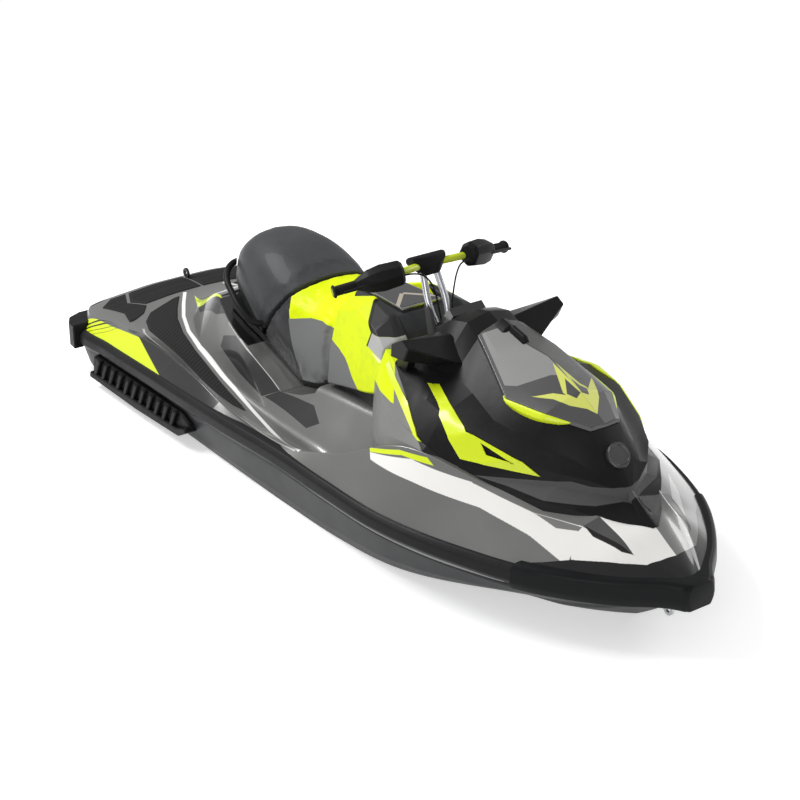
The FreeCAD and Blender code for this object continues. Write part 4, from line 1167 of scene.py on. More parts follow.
@dataclass
class Trim(BodyForm):
    """Rub rails, bow bumper, stern caps and sponsons."""

    reach: float = 28 * MM
    depth: float = 62 * MM
    bumper_depth: float = 82 * MM
    bumper_start: float = 0.8656

    def rail_grid(self, outline_shares: Shares, depth: float, first: float, last: float) -> np.ndarray:
        """An outline carried along the rail line of the body.

        Args:
            outline_shares: Outline, as shares of reach and depth.
            depth: Depth of the outline.
            first: Start, as a share of the length.
            last: End, as a share of the length.

        Returns:
            Grid of points.
        """
        line = self.net()[:, 7]
        x = np.linspace(self.craft.along(first), self.craft.along(last), 150)
        yz = np.stack([np.interp(x, line[:, 0], line[:, axis]) for axis in (1, 2)], -1)
        outline = np.array(outline_shares) * (self.reach, depth)
        return rounded(stationed(x, yz[:, None] + outline), 5 * MM, 4, True)

    def build(self) -> None:
        """Builds and fits the trim."""
        rubber = self.finish(Moulded("bumper_rubber", (0.010, 0.0105, 0.0112), 0.42, 500, 0.05 * MM))
        rail_outline = ((-1, -1), (.5, -1), (1, -.7), (.85, -.19), (.25, .1), (-1, .1))
        grid = self.rail_grid(rail_outline, self.depth, .04, self.bumper_start)
        rails = paired("rub_rails_dressed", net_object("rub_rail_port", grid, 30))
        plastic = self.finish(Moulded("rail_plastic", (0.017, 0.017, 0.018), 0.42, 700, 0.05 * MM))
        self.fit(rails, Body.HULL, "rail", plastic, "rub_rails")
        self.fit(self.bumper(), Body.HULL, "bumper", rubber, "bow_bumper")
        low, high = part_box("stern_caps")
        plan_shares = np.array([(0, .60), (0, .83), (.22, .93), (.60, .975), (1, .985), (1, .87), (.35, .74),
                                (.25, .60)])
        plan = plan_shares * (high.x - low.x, self.craft.half_beam) + (low.x, 0)
        cap = faceted("stern_cap_port", upright(plan, (low.z, high.z + 14 * MM), 2), 7 * MM, 4)
        self.fit(paired("stern_caps_dressed", cap), Body.HULL, "bumper", rubber, "stern_caps")
        self.sponsons()

    def bumper(self) -> Piece:
        """The bow bumper: sections of the bumper's outline that close over the bow."""
        craft = self.craft
        outline = np.array(((.5, -1), (1, -.62), (.8, .04), (.2, .195))) * (self.reach, self.bumper_depth)
        x = (.80, .90, .95, .985, 1.0)
        line = craft.net(x, [[(.82, .395), (.563, .387), (.335, .384), (.125, .383), (.06, .378)]])
        at = np.linspace(craft.along(self.bumper_start), craft.along(1), 60)
        flat = curved(line[:, 0, 0], line[:, 0, 1:], at)[:, None] + outline
        half = np.concatenate([flat[:, :1] * (0, 1), flat, flat[:, -1:] * (0, 1)], 1)
        grid = both_sides(rounded(stationed(at, half), 9 * MM, 4, False))
        return net_object("bow_bumper_dressed", pillow(grid, 10 * MM, start=False), 30)

    def sponsons(self) -> None:
        """A finned float on each side of the hull, with slanted fins and a tapered nose."""
        low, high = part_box("sponsons")
        size = np.array([high.x - low.x, high.z - low.z])

        def slab(name: str, shares: Shares, inner: float, outer: float, width: float,
                 steps: int = 4) -> Piece:
            """A flat outline between two distances in from the float's outer side."""
            outline = np.array(shares) * size + (low.x, low.z)
            return faceted(name, upright(outline, (high.y - inner, high.y - outer)), width, steps)

        core = ((0, .08), (.015, .95), (.93, 1), (1, .72), (1, .38), (.90, .12), (.5, 0))
        lip = ((.0, .02), (.01, .30), (.90, .36), (1, .62), (1, .40), (.92, .06), (.5, -.04))
        pieces = [slab("sponson_core", core, 103 * MM, 16 * MM, 9 * MM)]
        fins, wide, lean = 11, 0.024 / size[0], 0.052 / size[0]
        for k in range(fins):
            foot = 0.03 + 0.86 * k / fins
            fin = ((foot, .07), (foot + wide, .07), (foot + wide + lean, 1), (foot + lean, 1))
            pieces.append(slab(f"fin_{k}", fin, 24 * MM, 0, 5 * MM, 3))
        pieces.append(slab("sponson_lip", lip, 30 * MM, -3 * MM, 8 * MM))
        plastic = self.finish(Moulded("sponson_plastic", (0.007, 0.007, 0.0075), 0.48, 700, 0.08 * MM))
        floats = paired("sponsons_dressed", joined("sponson_port", pieces))
        self.fit(floats, Body.HULL, "sponson", plastic, "sponsons")


def ribbed(value: np.ndarray, pitch: float) -> np.ndarray:
    """Rounded ribs between 0 and 1: the sine of the place over the pitch, flattened at its top."""
    return np.clip(0.5 + 0.9 * np.sin(2 * math.pi * value / pitch), 0, 1)


@dataclass
class Mats(BodyForm):
    """Foam mats on the platform and in the footwells, ribbed and laid on the deck."""

    thickness: float = 6 * MM
    edge_share: float = 0.55
    sunk: float = 1 * MM
    border: float = 9 * MM
    rib_pitch: float = 19 * MM
    fine_pitch: float = 7 * MM
    rib_rise: float = 1.6 * MM
    rib_lean: float = 0.55
    step: float = 3.2 * MM
    columns: int = 34
    leaf_inner: Shares = ((.070, .225), (.0964, .325), (.1214, .405), (.1598, .482), (.2061, .540),
                          (.2719, .596), (.350, .666), (.366, .688))
    leaf_outer: Shares = ((.070, .26), (.0845, .51), (.100, .59), (.1236, .640), (.200, .672), (.3146, .711),
                          (.345, .712), (.366, .692))

    def heights(self, x: np.ndarray, y: np.ndarray) -> np.ndarray:
        """Height of the deck under a grid of points, read row by row from its rounded sections."""
        net = self.net()[:, 7:]
        rows = rounded(net, np.array(self.deck_radii), 5, False)
        k = np.clip(np.searchsorted(rows[:, 0, 0], x[:, 0]), 1, len(rows) - 1)
        ahead = ((x[:, 0] - rows[k - 1, 0, 0]) / (rows[k, 0, 0] - rows[k - 1, 0, 0]))[:, None, None]
        mixed = between(rows[k - 1], rows[k], ahead)
        return np.stack([np.interp(at, row[::-1, 1], row[::-1, 2]) for at, row in zip(y, mixed)])

    def mat(self, name: str, inner: Shares, outer: Shares, lean: float, pitch: float) -> Piece:
        """A port mat between two edges.

        Its top is the deck's height plus the thickness and slanted ribs, which fade out at the edges.

        Args:
            name: Its name.
            inner: Inner edge, as shares of length and half beam.
            outer: Outer edge.
            lean: How far the ribs lean, across for each length along.
            pitch: Distance between ribs.

        Returns:
            The mat.
        """
        edges = [np.array(edge) * (self.craft.length, self.craft.half_beam) for edge in (inner, outer)]
        start, end = edges[0][0, 0], edges[0][-1, 0]
        x = np.linspace(start, end, int((end - start) / self.step))
        low, high = (np.interp(x, edge[:, 0], edge[:, 1])[:, None] for edge in edges)
        y = between(low, high, np.linspace(0, 1, self.columns))
        grid_x = np.broadcast_to((x + self.craft.stern)[:, None], y.shape)
        base = self.heights(grid_x, y)
        inset = np.minimum(np.minimum(y - low, high - y), np.minimum(x - start, end - x)[:, None])
        border = inset / self.border
        fade = np.clip(border - 0.4, 0, 1)
        edge = np.sqrt(np.clip(1 - (1 - np.clip(border * 3, 0, 1)) ** 2, 0, 1))
        rise = self.thickness * (self.edge_share + (1 - self.edge_share) * edge) - self.rib_rise
        top = base + rise + self.rib_rise * fade * ribbed(grid_x - y * lean, pitch)
        upper = np.stack([grid_x, y, top], -1)
        lower = np.stack([grid_x, y, base - self.sunk], -1)[:, ::-1]
        return net_object(name, np.concatenate([upper, lower], 1), 60)

    def build(self) -> None:
        """Builds and fits the mats."""
        foam = self.finish(Moulded("mat_foam", (0.021, 0.0205, 0.0215), 0.66, 1400, 0.10 * MM))
        leaf = self.mat("leaf", self.leaf_inner, self.leaf_outer, self.rib_lean, self.rib_pitch)
        self.fit(paired("footwell_mats_dressed", leaf), Body.HULL, "mat", foam, "footwell_mats")
        middle = self.mat("middle", ((.010, .008), (.058, .008)), ((.010, .455), (.0398, .530), (.058, .46)),
                          0, self.fine_pitch)
        side = self.mat("side", ((.010, .480), (.0398, .555), (.063, .47), (.078, .535), (.090, .67)),
                        ((.010, .60), (.0289, .72), (.0627, .645), (.090, .688)), 0, self.fine_pitch)
        self.fit(paired("platform_mats_dressed", middle, side), Body.HULL, "mat", foam, "platform_mats")


@dataclass
class Fairing(Assembly):
    """Front fairing: hood, cheeks down to the rim strip, and the chin wall that stands on the deck."""

    stations: Shares = (.575, .600, .615, .635, .66, .68, .70, .72, .76, .81, .85, .875, .893, .915, .931)
    ridge: Sequence[float] = (.730, .775, .855, .893, .908, .900, .884, .868, .857, .795, .730, .638, .560,
                              .520, .4905)
    lid_edge: Shares = ((.23, .732), (.22, .770), (.18, .835), (.165, .876), (.155, .890), (.165, .868),
                        (.20, .845), (.238, .822), (.305, .762), (.24, .756), (.105, .732), (.095, .631),
                        (.012, .558), (.006, .518), (.003, .490))
    valley: Shares = ((.31, .736), (.334, .744), (.345, .748), (.351, .752), (.359, .756), (.327, .76),
                      (.347, .752), (.367, .743), (.392, .703), (.327, .672), (.22, .646), (.147, .612),
                      (.016, .557), (.008, .516), (.004, .49))
    shoulder: Shares = ((.40, .745), (.437, .731), (.456, .723), (.478, .714), (.504, .703), (.531, .70),
                        (.55, .702), (.57, .703), (.545, .682), (.456, .645), (.335, .620), (.205, .602),
                        (.020, .556), (.012, .514), (.006, .489))
    rim: Shares = ((.473, .668), (.543, .652), (.578, .644), (.612, .641), (.653, .637), (.673, .634),
                   (.68, .63), (.685, .625), (.625, .570), (.475, .575), (.333, .597), (.203, .592),
                   (.022, .555), (.030, .512), (.008, .489))
    low: Shares = ((.475, .66), (.546, .644), (.583, .637), (.616, .634), (.657, .630), (.678, .628),
                   (.685, .622), (.69, .615), (.630, .566), (.478, .565), (.335, .576), (.203, .564),
                   (.024, .536), (.05, .510), (.010, .4885))
    chin: Shares = ((.48, .65), (.566, .614), (.61, .598), (.665, .595), (.73, .59), (.735, .60),
                    (.73, .602), (.722, .603), (.637, .562), (.519, .541), (.428, .542), (.32, .524),
                    (.225, .509), (.122, .502), (.02, .4885))
    foot: Shares = ((.50, .53), (.60, .53), (.65, .53), (.70, .53), (.745, .54), (.755, .545), (.735, .56),
                    (.715, .57), (.630, .53), (.512, .51), (.42, .50), (.313, .48), (.218, .47),
                    (.115, .465), (.015, .455))
    lid_rows: tuple[int, int] = (5, 11)
    lid_sink: float = 15.5 * MM
    base: float = .40
    seam: Shares = ((.597, .735), (.7225, .600))

    def net(self) -> np.ndarray:
        """The fairing's lines as a net, ridge first."""
        return self.craft.net(self.stations, [centred(self.ridge), self.lid_edge, self.valley, self.shoulder,
                                              self.rim, self.low, self.chin, self.foot])

    def build(self) -> None:
        """Builds and fits the fairing."""
        net = self.net()
        first, last = self.lid_rows
        net[first:last, :2, 2] -= self.lid_sink
        foot = net[:, -1:].copy()
        foot[..., 2] = self.craft.up(self.base)
        centre = foot * (1, 0, 1)
        half = np.concatenate([net, foot, centre], 1)[:, ::-1]
        piece = faceted("fairing_shell", both_sides(half), 4 * MM, angle=12)
        low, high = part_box("storage_bin")
        room = Vector((BIN_GAP, BIN_GAP, 1))
        carved(piece, [block("bin_cut", low - room, high + room)])
        self.fit(piece, Body.HULL, "fairing", self.material(), "front_fairing")
        self.boss()

    def material(self) -> Material:
        """Black grained plastic with a lighter strip of painted sheen; the panel aft of the slanted seam has
        the deck's silver and a yellow cheek.
        """
        g = Graph("fairing_two_tone")
        x, z = g.axis("X"), g.axis("Z")
        top, foot = self.craft.side_view(self.seam)
        aft = g.side(x, z, foot, top, 2 * MM)
        colour = g.mix(aft, FAIRING_PLASTIC.tone(g, FAIRING_PLASTIC.colour), SILVER)
        cheek = g.patch(x, z, self.craft.side_view(((.55, .650), (.638, .652), (.600, .733), (.560, .80),
                                                    (.50, .80))))
        colour = g.mix(cheek & aft, colour, ACID_YELLOW)
        # Painted sheen: a lighter grey strip over the black plastic stands for the gloss reflection on that
        # facet.
        strip = g.patch(x, z, self.craft.side_view(((.775, .565), (.90, .53), (.90, .562), (.86, .597),
                                                    (.81, .578))))
        colour = g.mix(strip * 0.5, colour, (0.16, 0.16, 0.16))
        return FAIRING_PLASTIC.paint(g, colour)

    def boss(self) -> None:
        """A plain round boss with a bright ring on the nose."""
        centre = self.craft.at((.872, 0, .652))
        outward = np.array([.80, 0, .60])
        across = np.array([0, 1.0, 0])
        upward = np.cross(outward, across)
        profile = np.array([(0, -12), (46, -12), (46, 3), (43, 7), (37, 7), (34, 3), (0, 3)]) * MM
        spokes = ring(1.0, 48) @ np.array([across, upward])
        grid = centre + spokes * profile[:, None, :1] + outward * profile[:, None, 1:]
        gloss = self.finish(Gloss("boss_gloss", (0.05, 0.05, 0.052), 0.3, 0.3, 0.6))
        self.fit(net_object("nose_boss", grid, 30, capped=False), Body.HULL, "fairing", gloss)


@dataclass
class Blades(Fairing):
    """Yellow blades on the flanks: a tick-shaped plate with a triangular hole, and the strip aft of it."""

    tick: Shares = ((.6617, .4442, .7254), (.6764, .4188, .734), (.697, .5174, .7101), (.7173, .503, .7168),
                    (.7356, .5917, .651), (.7544, .5524, .6795), (.7631, .5402, .6775),
                    (.7729, .5254, .6601), (.7815, .5193, .6296), (.7574, .6049, .6018),
                    (.8089, .4632, .6264), (.7941, .5023, .602), (.8180, .4310, .6340), (.8353, .382, .6007))
    tick_faces: Sequence[Sequence[int]] = ((0, 1, 3, 2), (2, 3, 5, 4), (4, 5, 6, 7), (4, 7, 8, 9),
                                           (9, 8, 10, 11), (7, 6, 12, 10), (10, 12, 13, 11))
    strip: Shares = ((.588, .447, .712), (.592, .435, .725), (.6106, .5154, .6929), (.6206, .4964, .6986),
                     (.6504, .5903, .6635), (.659, .5622, .6687), (.7066, .690, .6140), (.7116, .690, .6161))
    strip_faces: Sequence[Sequence[int]] = ((0, 1, 3, 2), (2, 3, 5, 4), (4, 5, 7, 6))
    thickness: float = 5 * MM

    def plate(self, name: str, corners: Shares, faces: Sequence[Sequence[int]]) -> Piece:
        """A port plate that lies on the flank, solid from its corners and faces.

        Args:
            name: Its name.
            corners: Corners as shares.
            faces: Faces by corner.

        Returns:
            The plate.
        """
        points = self.craft.at(np.array(corners))
        piece = make_object(name, points, faces, FACET_ANGLE)
        mesh = piece.data
        if sum(face.normal.y * face.area for face in mesh.polygons) < 0:
            mesh.flip_normals()
        fine = bmesh.new()
        fine.from_mesh(mesh)
        bmesh.ops.subdivide_edges(fine, edges=fine.edges, cuts=5, use_grid_fill=True)
        fine.to_mesh(mesh)
        fine.free()
        wrap = piece.modifiers.new("Wrap", "SHRINKWRAP")
        wrap.target = bpy.data.objects["fairing_shell"]
        wrap.wrap_method = "NEAREST_SURFACEPOINT"
        wrap.wrap_mode = "ABOVE_SURFACE"
        wrap.offset = self.thickness
        apply_modifiers(piece)
        solid = piece.modifiers.new("Thickness", "SOLIDIFY")
        solid.thickness = self.thickness * 1.3
        solid.offset = -1
        apply_modifiers(piece)
        return bevelled(piece, 2 * MM, 3, 50)

    def build(self) -> None:
        """Builds and fits both sides' plates."""
        ports = [self.plate("tick_port", self.tick, self.tick_faces),
                 self.plate("strip_port", self.strip, self.strip_faces)]
        g = Graph("blade_yellow")
        paint = Gloss("blade_yellow", ACID_YELLOW, 0.0, 0.34, 0.3)
        pale = g.axis("Z").above(self.craft.up(.722), 70 * MM)
        aft = 1 - g.axis("X").above(self.craft.along(.62), 20 * MM)
        colour = g.mix(pale & aft, paint.tone(g, ACID_YELLOW), (0.86, 0.86, 0.42))
        self.fit(paired("fairing_blades_dressed", *ports), Body.HULL, "blade", paint.paint(g, colour),
                 "fairing_blades")


@dataclass
class Lid(Fairing):
    """Storage lid with its panels, side scoops and latch."""

    thickness: float = 14 * MM
    fold_share: float = 0.74
    fold_rise: float = 4 * MM
    line_pitch: float = 9 * MM
    line_slant: float = 60.0

    def build(self) -> None:
        """Builds and fits the lid, its scoops and its latch."""
        first, last = self.lid_rows
        net = self.net()[first:last]
        ridge, edge = net[:, 0], net[:, 1]
        fold = between(ridge, edge, self.fold_share) + (0, 0, self.fold_rise)
        under_edge, under = edge - (0, 0, self.thickness), ridge - (0, 0, self.thickness)
        half = np.stack([under, under_edge, edge, fold, ridge], 1)
        piece = faceted("lid_panel", both_sides(half), 3 * MM, angle=9)
        self.fit(piece, Body.LID, "lid", self.lid_material(), "storage_lid")
        self.scoops(edge)
        self.latch()

    def lid_material(self) -> Material:
        """Charcoal lid with ribbed grey panels and a pale yellow arrow around a dark diamond; the port panel
        is a darker copy, painted shade.
        """
        g = Graph("lid_panel_paint")
        paint = Gloss("lid_panel_paint", (0.060, 0.060, 0.060), 0.0, 0.36, 0.3)
        x, side = g.axis("X"), g.axis("Y")
        y = side.size()
        lines = (x * (2 * math.pi / self.line_pitch) + side * self.line_slant).wave() * 0.5 + 0.5
        starboard = 1 - side.above(0, 2 * MM)
        panel, arrow, inner, diamond = (g.patch(x, y, self.craft.top_view(outline)) for outline in (
            ((.6825, .145), (.690, .020), (.7812, .0), (.8194, .020), (.8063, .0768), (.76, .2268),
             (.7545, .2733), (.7191, .2150)),
            ((.7545, .2733), (.76, .2268), (.8063, .0768), (.8194, .0), (.838, .0), (.818, .105),
             (.7620, .2820)),
            ((.7687, .0095), (.7938, .0), (.8300, .0), (.8115, .070), (.8020, .085)),
            ((.7900, .018), (.812, .004), (.8150, .045), (.8055, .072))))
        # Painted shade: the panel's lines come as a lit grey copy on starboard and a darker copy on port,
        # though the real panels are alike.
        light, dark = (0.245, 0.245, 0.238), (0.050, 0.048, 0.045)
        fine = g.mix(lines, toned(light, 0.92), toned(light, 1.06))
        shaded_port_lines = g.mix(lines, toned(dark, 0.55), toned(dark, 1.35))
        colour = g.mix(panel, paint.tone(g, paint.colour), g.mix(starboard, shaded_port_lines, fine))
        colour = g.mix((arrow | inner) & (1 - diamond), colour, (0.63, 0.66, 0.13))
        return paint.paint(g, colour)

    def scoops(self, edge: np.ndarray) -> None:
        """Yellow lips under the lid's side edges: a wedge that is deepest in its middle."""
        count = 24
        x = np.linspace(self.craft.along(.756), edge[-1, 0] - 60 * MM, count)
        y, z = (np.interp(x, edge[:, 0], edge[:, axis]) for axis in (1, 2))
        swell = np.sin(np.linspace(0, 1, count) * math.pi) ** 0.8
        out, drop = (5 + 12 * swell) * MM, (8 + 34 * swell) * MM
        back, top = y - 12 * MM, z - 3 * MM
        corners = ((back, top), (y + out * .4, top), (y + out, z - drop * .5), (y + out * .6, z - drop),
                   (back, z - drop))
        grid = stationed(x, np.stack([np.stack(corner, -1) for corner in corners], 1))
        port = net_object("scoop_port", rounded(grid, 3 * MM, 3, True), 35)
        yellow = self.finish(Gloss("yellow_gloss", ACID_YELLOW, 0.0, 0.32, 0.4))
        self.fit(paired("lid_scoops_dressed", port), Body.LID, "blade", yellow, "lid_scoops")

    def latch(self) -> None:
        """Latch handle astride the ridge: a stem with a broad grip behind it."""
        low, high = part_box("lid_latch")
        ridge = self.net()[:, 0]
        pieces = []
        shares = ((-.55, .35, 1.35, .50), (.35, 1.55, .52, 1.0))
        for k, (back, front, wide, tall) in enumerate(shares):
            x = low.x + np.array([back, back + .12, front - .12, front]) * (high.x - low.x)
            z = np.interp(x, ridge[:, 0], ridge[:, 2])
            half = np.array([.8, 1, 1, .8]) * wide * (high.y - low.y) / 2
            rise = np.array([.4, 1, 1, .4]) * tall * 22 * MM
            sag = half * 0.55
            rows = [np.array([(0, -4 * MM), (h, -4 * MM - s), (h, r * .6 - s), (h * .6, r - s * .5), (0, r)])
                    + (0, top) for h, r, s, top in zip(half, rise, sag, z)]
            pieces.append(faceted(f"latch_{k}", both_sides(stationed(x, np.array(rows))), 3 * MM))
        plastic = self.finish(BLACK_PLASTIC)
        self.fit(joined("latch_grip", pieces), Body.LID, "black_plastic", plastic, "lid_latch")


@dataclass
class Mirrors(Fairing):
    """Mirror wings on the fairing's shoulders, with a glass on each aft face and a stalk below."""

    root: Shares = ((.622, .765), (.662, .745), (.686, .775), (.650, .850), (.628, .838))
    tip: Shares = ((.628, .800), (.651, .806), (.660, .858), (.649, .876), (.629, .842))
    span: Sequence[float] = (.225, .575)

    def build(self) -> None:
        """Builds and fits both mirrors."""
        root, tip = (self.craft.at(upright(outline, (reach,))[0])
                     for reach, outline in zip(self.span, (self.root, self.tip)))
        middle = between(root, tip, .55)
        wing = faceted("mirror_wing", np.stack([root, middle, tip]), 5 * MM, 4, 14)
        inner, outer = between(root, middle, .35), between(middle, tip, .8)
        face = np.array([between(section[0], section[4], share) for section, share in (
            (inner, .16), (outer, .16), (outer, .86), (inner, .86))])
        normal = np.cross(face[1] - face[0], face[3] - face[0])
        normal /= np.linalg.norm(normal) * math.copysign(1, -normal[0])
        plates = np.stack([face - normal * 3 * MM, face + normal * 2 * MM])
        glass = faceted("mirror_glass", plates, 1.2 * MM, 2)
        stalk = faceted("mirror_stalk", self.stalk(), 3 * MM, 3, 20)
        self.fit(paired("mirrors_dressed", wing, stalk), Body.HULL, "fairing", self.finish(FAIRING_PLASTIC),
                 "mirrors")
        silvered = self.finish(Cast("mirror_silver", (0.42, 0.44, 0.46), 0.14, 0.0, 60.0))
        self.fit(paired("mirror_glasses", glass), Body.HULL, "fairing", silvered)

    def stalk(self) -> np.ndarray:
        """Slanted stalk from below the wing down to the fairing's shoulder."""
        ends = ((.632, .47, .795, .011), (.612, .405, .712, .007))
        corners = np.array([(-1, -1), (1, -1), (1, 1), (-1, 1)])
        return self.craft.at(np.array([np.insert((x, y) + corners * (half, .03), 2, z, axis=1)
                                       for x, y, z, half in ends]))


def vinyl(name: str, colour: Colour) -> Moulded:
    """Soft vinyl with a fine leather grain."""
    return Moulded(name, colour, 0.46, 420, 0.14 * MM, 0.05)


SEAT_GREY: Colour = (0.036, 0.036, 0.038)
INSERT = Decal((0.150, 0.153, 0.152), ((.4056, .42), (.425, .42), (.545, .53), (.5272, .5631),
                                       (.4996, .6144), (.478, .645), (.4438, .668), (.4225, .678),
                                       (.4019, .6707), (.3685, .642)))


@dataclass
class Seat(Assembly):
    """Two cushions split along a slanted seam, with the pan and the grab handles."""

    stations: Shares = (.211, .241, .286, .347, .392, .428, .452)
    side: Shares = ((.23, .633), (.31, .650), (.37, .65), (.385, .615), (.37, .58), (.345, .598), (.33, .615))
    shoulder: Shares = ((.195, .73), (.27, .765), (.31, .773), (.32, .738), (.28, .703), (.255, .72),
                        (.245, .747))
    top: Shares = ((.115, .76), (.145, .817), (.18, .826), (.18, .782), (.147, .738), (.14, .76), (.13, .782))
    crown: Sequence[float] = (.764, .826, .835, .791, .747, .766, .791)
    low_width: Sequence[float] = (.21, .29, .345, .37, .385, .385, .375)
    seam: Shares = ((.3074, .5185), (.3767, .7909))
    section_radii: Sequence[float] = (.010, .045, .070, .060)
    end_radius: float = 26 * MM
    seam_gap: float = 3 * MM
    voxel: float = 9 * MM
    start_inset: float = 4 * MM
    swell_cap: float = 7 * MM
    frames: int = 20

    def cushion_form(self) -> np.ndarray:
        """Dense closed sections of the whole seat, standing on the seat line."""
        craft = self.craft
        line = seat_line(craft, 0.6 * MM)
        x = craft.along(np.array(self.stations))
        height = (np.interp(x, line[:, 0], line[:, 1]) - craft.keel) / craft.height
        lines = [np.column_stack([self.low_width, height]), self.side, self.shoulder, self.top,
                 centred(self.crown)]
        net = craft.flowing(craft.net(self.stations, lines), 110)
        net[:, 0, 2] = np.interp(net[:, 0, 0], line[:, 0], line[:, 1])
        centre = net[:, :1] * (1, 0, 1)
        half = np.concatenate([centre, net], 1)
        grid = both_sides(rounded(half, np.array(self.section_radii), 6, False))
        return pillow(grid, self.end_radius, 6)

    def split(self, sign: int) -> Piece:
        """Cutter for the space on one side of the slanted seam."""
        foot, top = np.array(self.craft.side_view(self.seam))
        slope = (top - foot) / (top - foot)[1]
        far = self.craft.length
        low, high = (foot + slope * rise + (sign * self.seam_gap / 2, 0) for rise in (-1.0, 1.0))
        outline = (low, high, high - (sign * far, 0), low - (sign * far, 0))
        return net_object("seam_cut", upright(outline, CUT_SIDES), FACET_ANGLE)

    def padded(self, piece: Piece) -> Piece:
        """Swells a cushion with a cloth simulation under air pressure, and caps how far it moves.

        Args:
            piece: The cushion's plain form.

        Returns:
            The same cushion, remeshed and swollen.
        """
        remesh = piece.modifiers.new("Remesh", "REMESH")
        remesh.mode = "VOXEL"
        remesh.voxel_size = self.voxel
        apply_modifiers(piece)
        normals = np.empty(len(piece.data.vertices) * 3)
        piece.data.vertex_normals.foreach_get("vector", normals)
        normals = normals.reshape(-1, 3)
        start = self.places(piece) - normals * self.start_inset
        piece.data.vertices.foreach_set("co", start.ravel())
        shift = normals * self.swell_cap
        cloth = piece.modifiers.new("Cloth", "CLOTH")
        cloth.settings.use_pressure = True
        cloth.settings.uniform_pressure_force = 4.0
        cloth.settings.effector_weights.gravity = 0.0
        cloth.settings.quality = 4
        cloth.point_cache.frame_end = self.frames
        for frame in range(1, self.frames + 1):
            bpy.context.scene.frame_set(frame)
        apply_modifiers(piece)
        bpy.context.scene.frame_set(1)
        shift = self.places(piece) - start
        reach = np.linalg.norm(shift, axis=1, keepdims=True)
        shift *= np.minimum(1, self.swell_cap / np.maximum(reach, 1e-9))
        turned_down, fully_down = 0.55, 0.85
        resting = np.clip((-normals[:, 2:] - turned_down) / (fully_down - turned_down), 0, 1)
        end = start + shift * (1 - resting) + normals * self.start_inset * resting
        piece.data.vertices.foreach_set("co", end.ravel())
        smooth = piece.modifiers.new("Subdivision", "SUBSURF")
        smooth.levels = smooth.render_levels = 1
        apply_modifiers(piece)
        shade(piece, 60)
        return piece

    @staticmethod
    def places(piece: Piece) -> np.ndarray:
        """Where a piece's points are."""
        flat = np.empty(len(piece.data.vertices) * 3)
        piece.data.vertices.foreach_get("co", flat)
        return flat.reshape(-1, 3)

    def build(self) -> None:
        """Builds and fits the cushions, the pan and the handles."""
        rear = net_object("seat_rear_cushion", self.cushion_form())
        front = linked("seat_front_cushion", rear.data.copy())
        for piece, sign in ((rear, -1), (front, 1)):
            self.padded(carved(piece, [self.split(sign)]))
        rim = [Decal(BLACK, ((.19, .48), (.325, .48), (.318, .548), (.2787, .6209), (.24, .70), (.20, .76),
                             (.19, .76)))]
        grey = self.painted(vinyl("seat_grey_vinyl", (0.052, 0.054, 0.057)), rim)
        self.fit(rear, Body.SEAT, "seat_grey", grey, "seat_rear")
        trims = [Decal(SEAT_GREY, ((.29, .40), (.4056, .43), (.3692, .6493), (.357, .72), (.342, .80),
                                   (.29, .80))), INSERT]
        yellow = self.painted(vinyl("seat_yellow_vinyl", ACID_YELLOW), trims)
        self.fit(front, Body.SEAT, "seat_yellow", yellow, "seat_front")
        self.dress(self.finish(BLACK_PLASTIC), "seat_pan", "grab_handles")


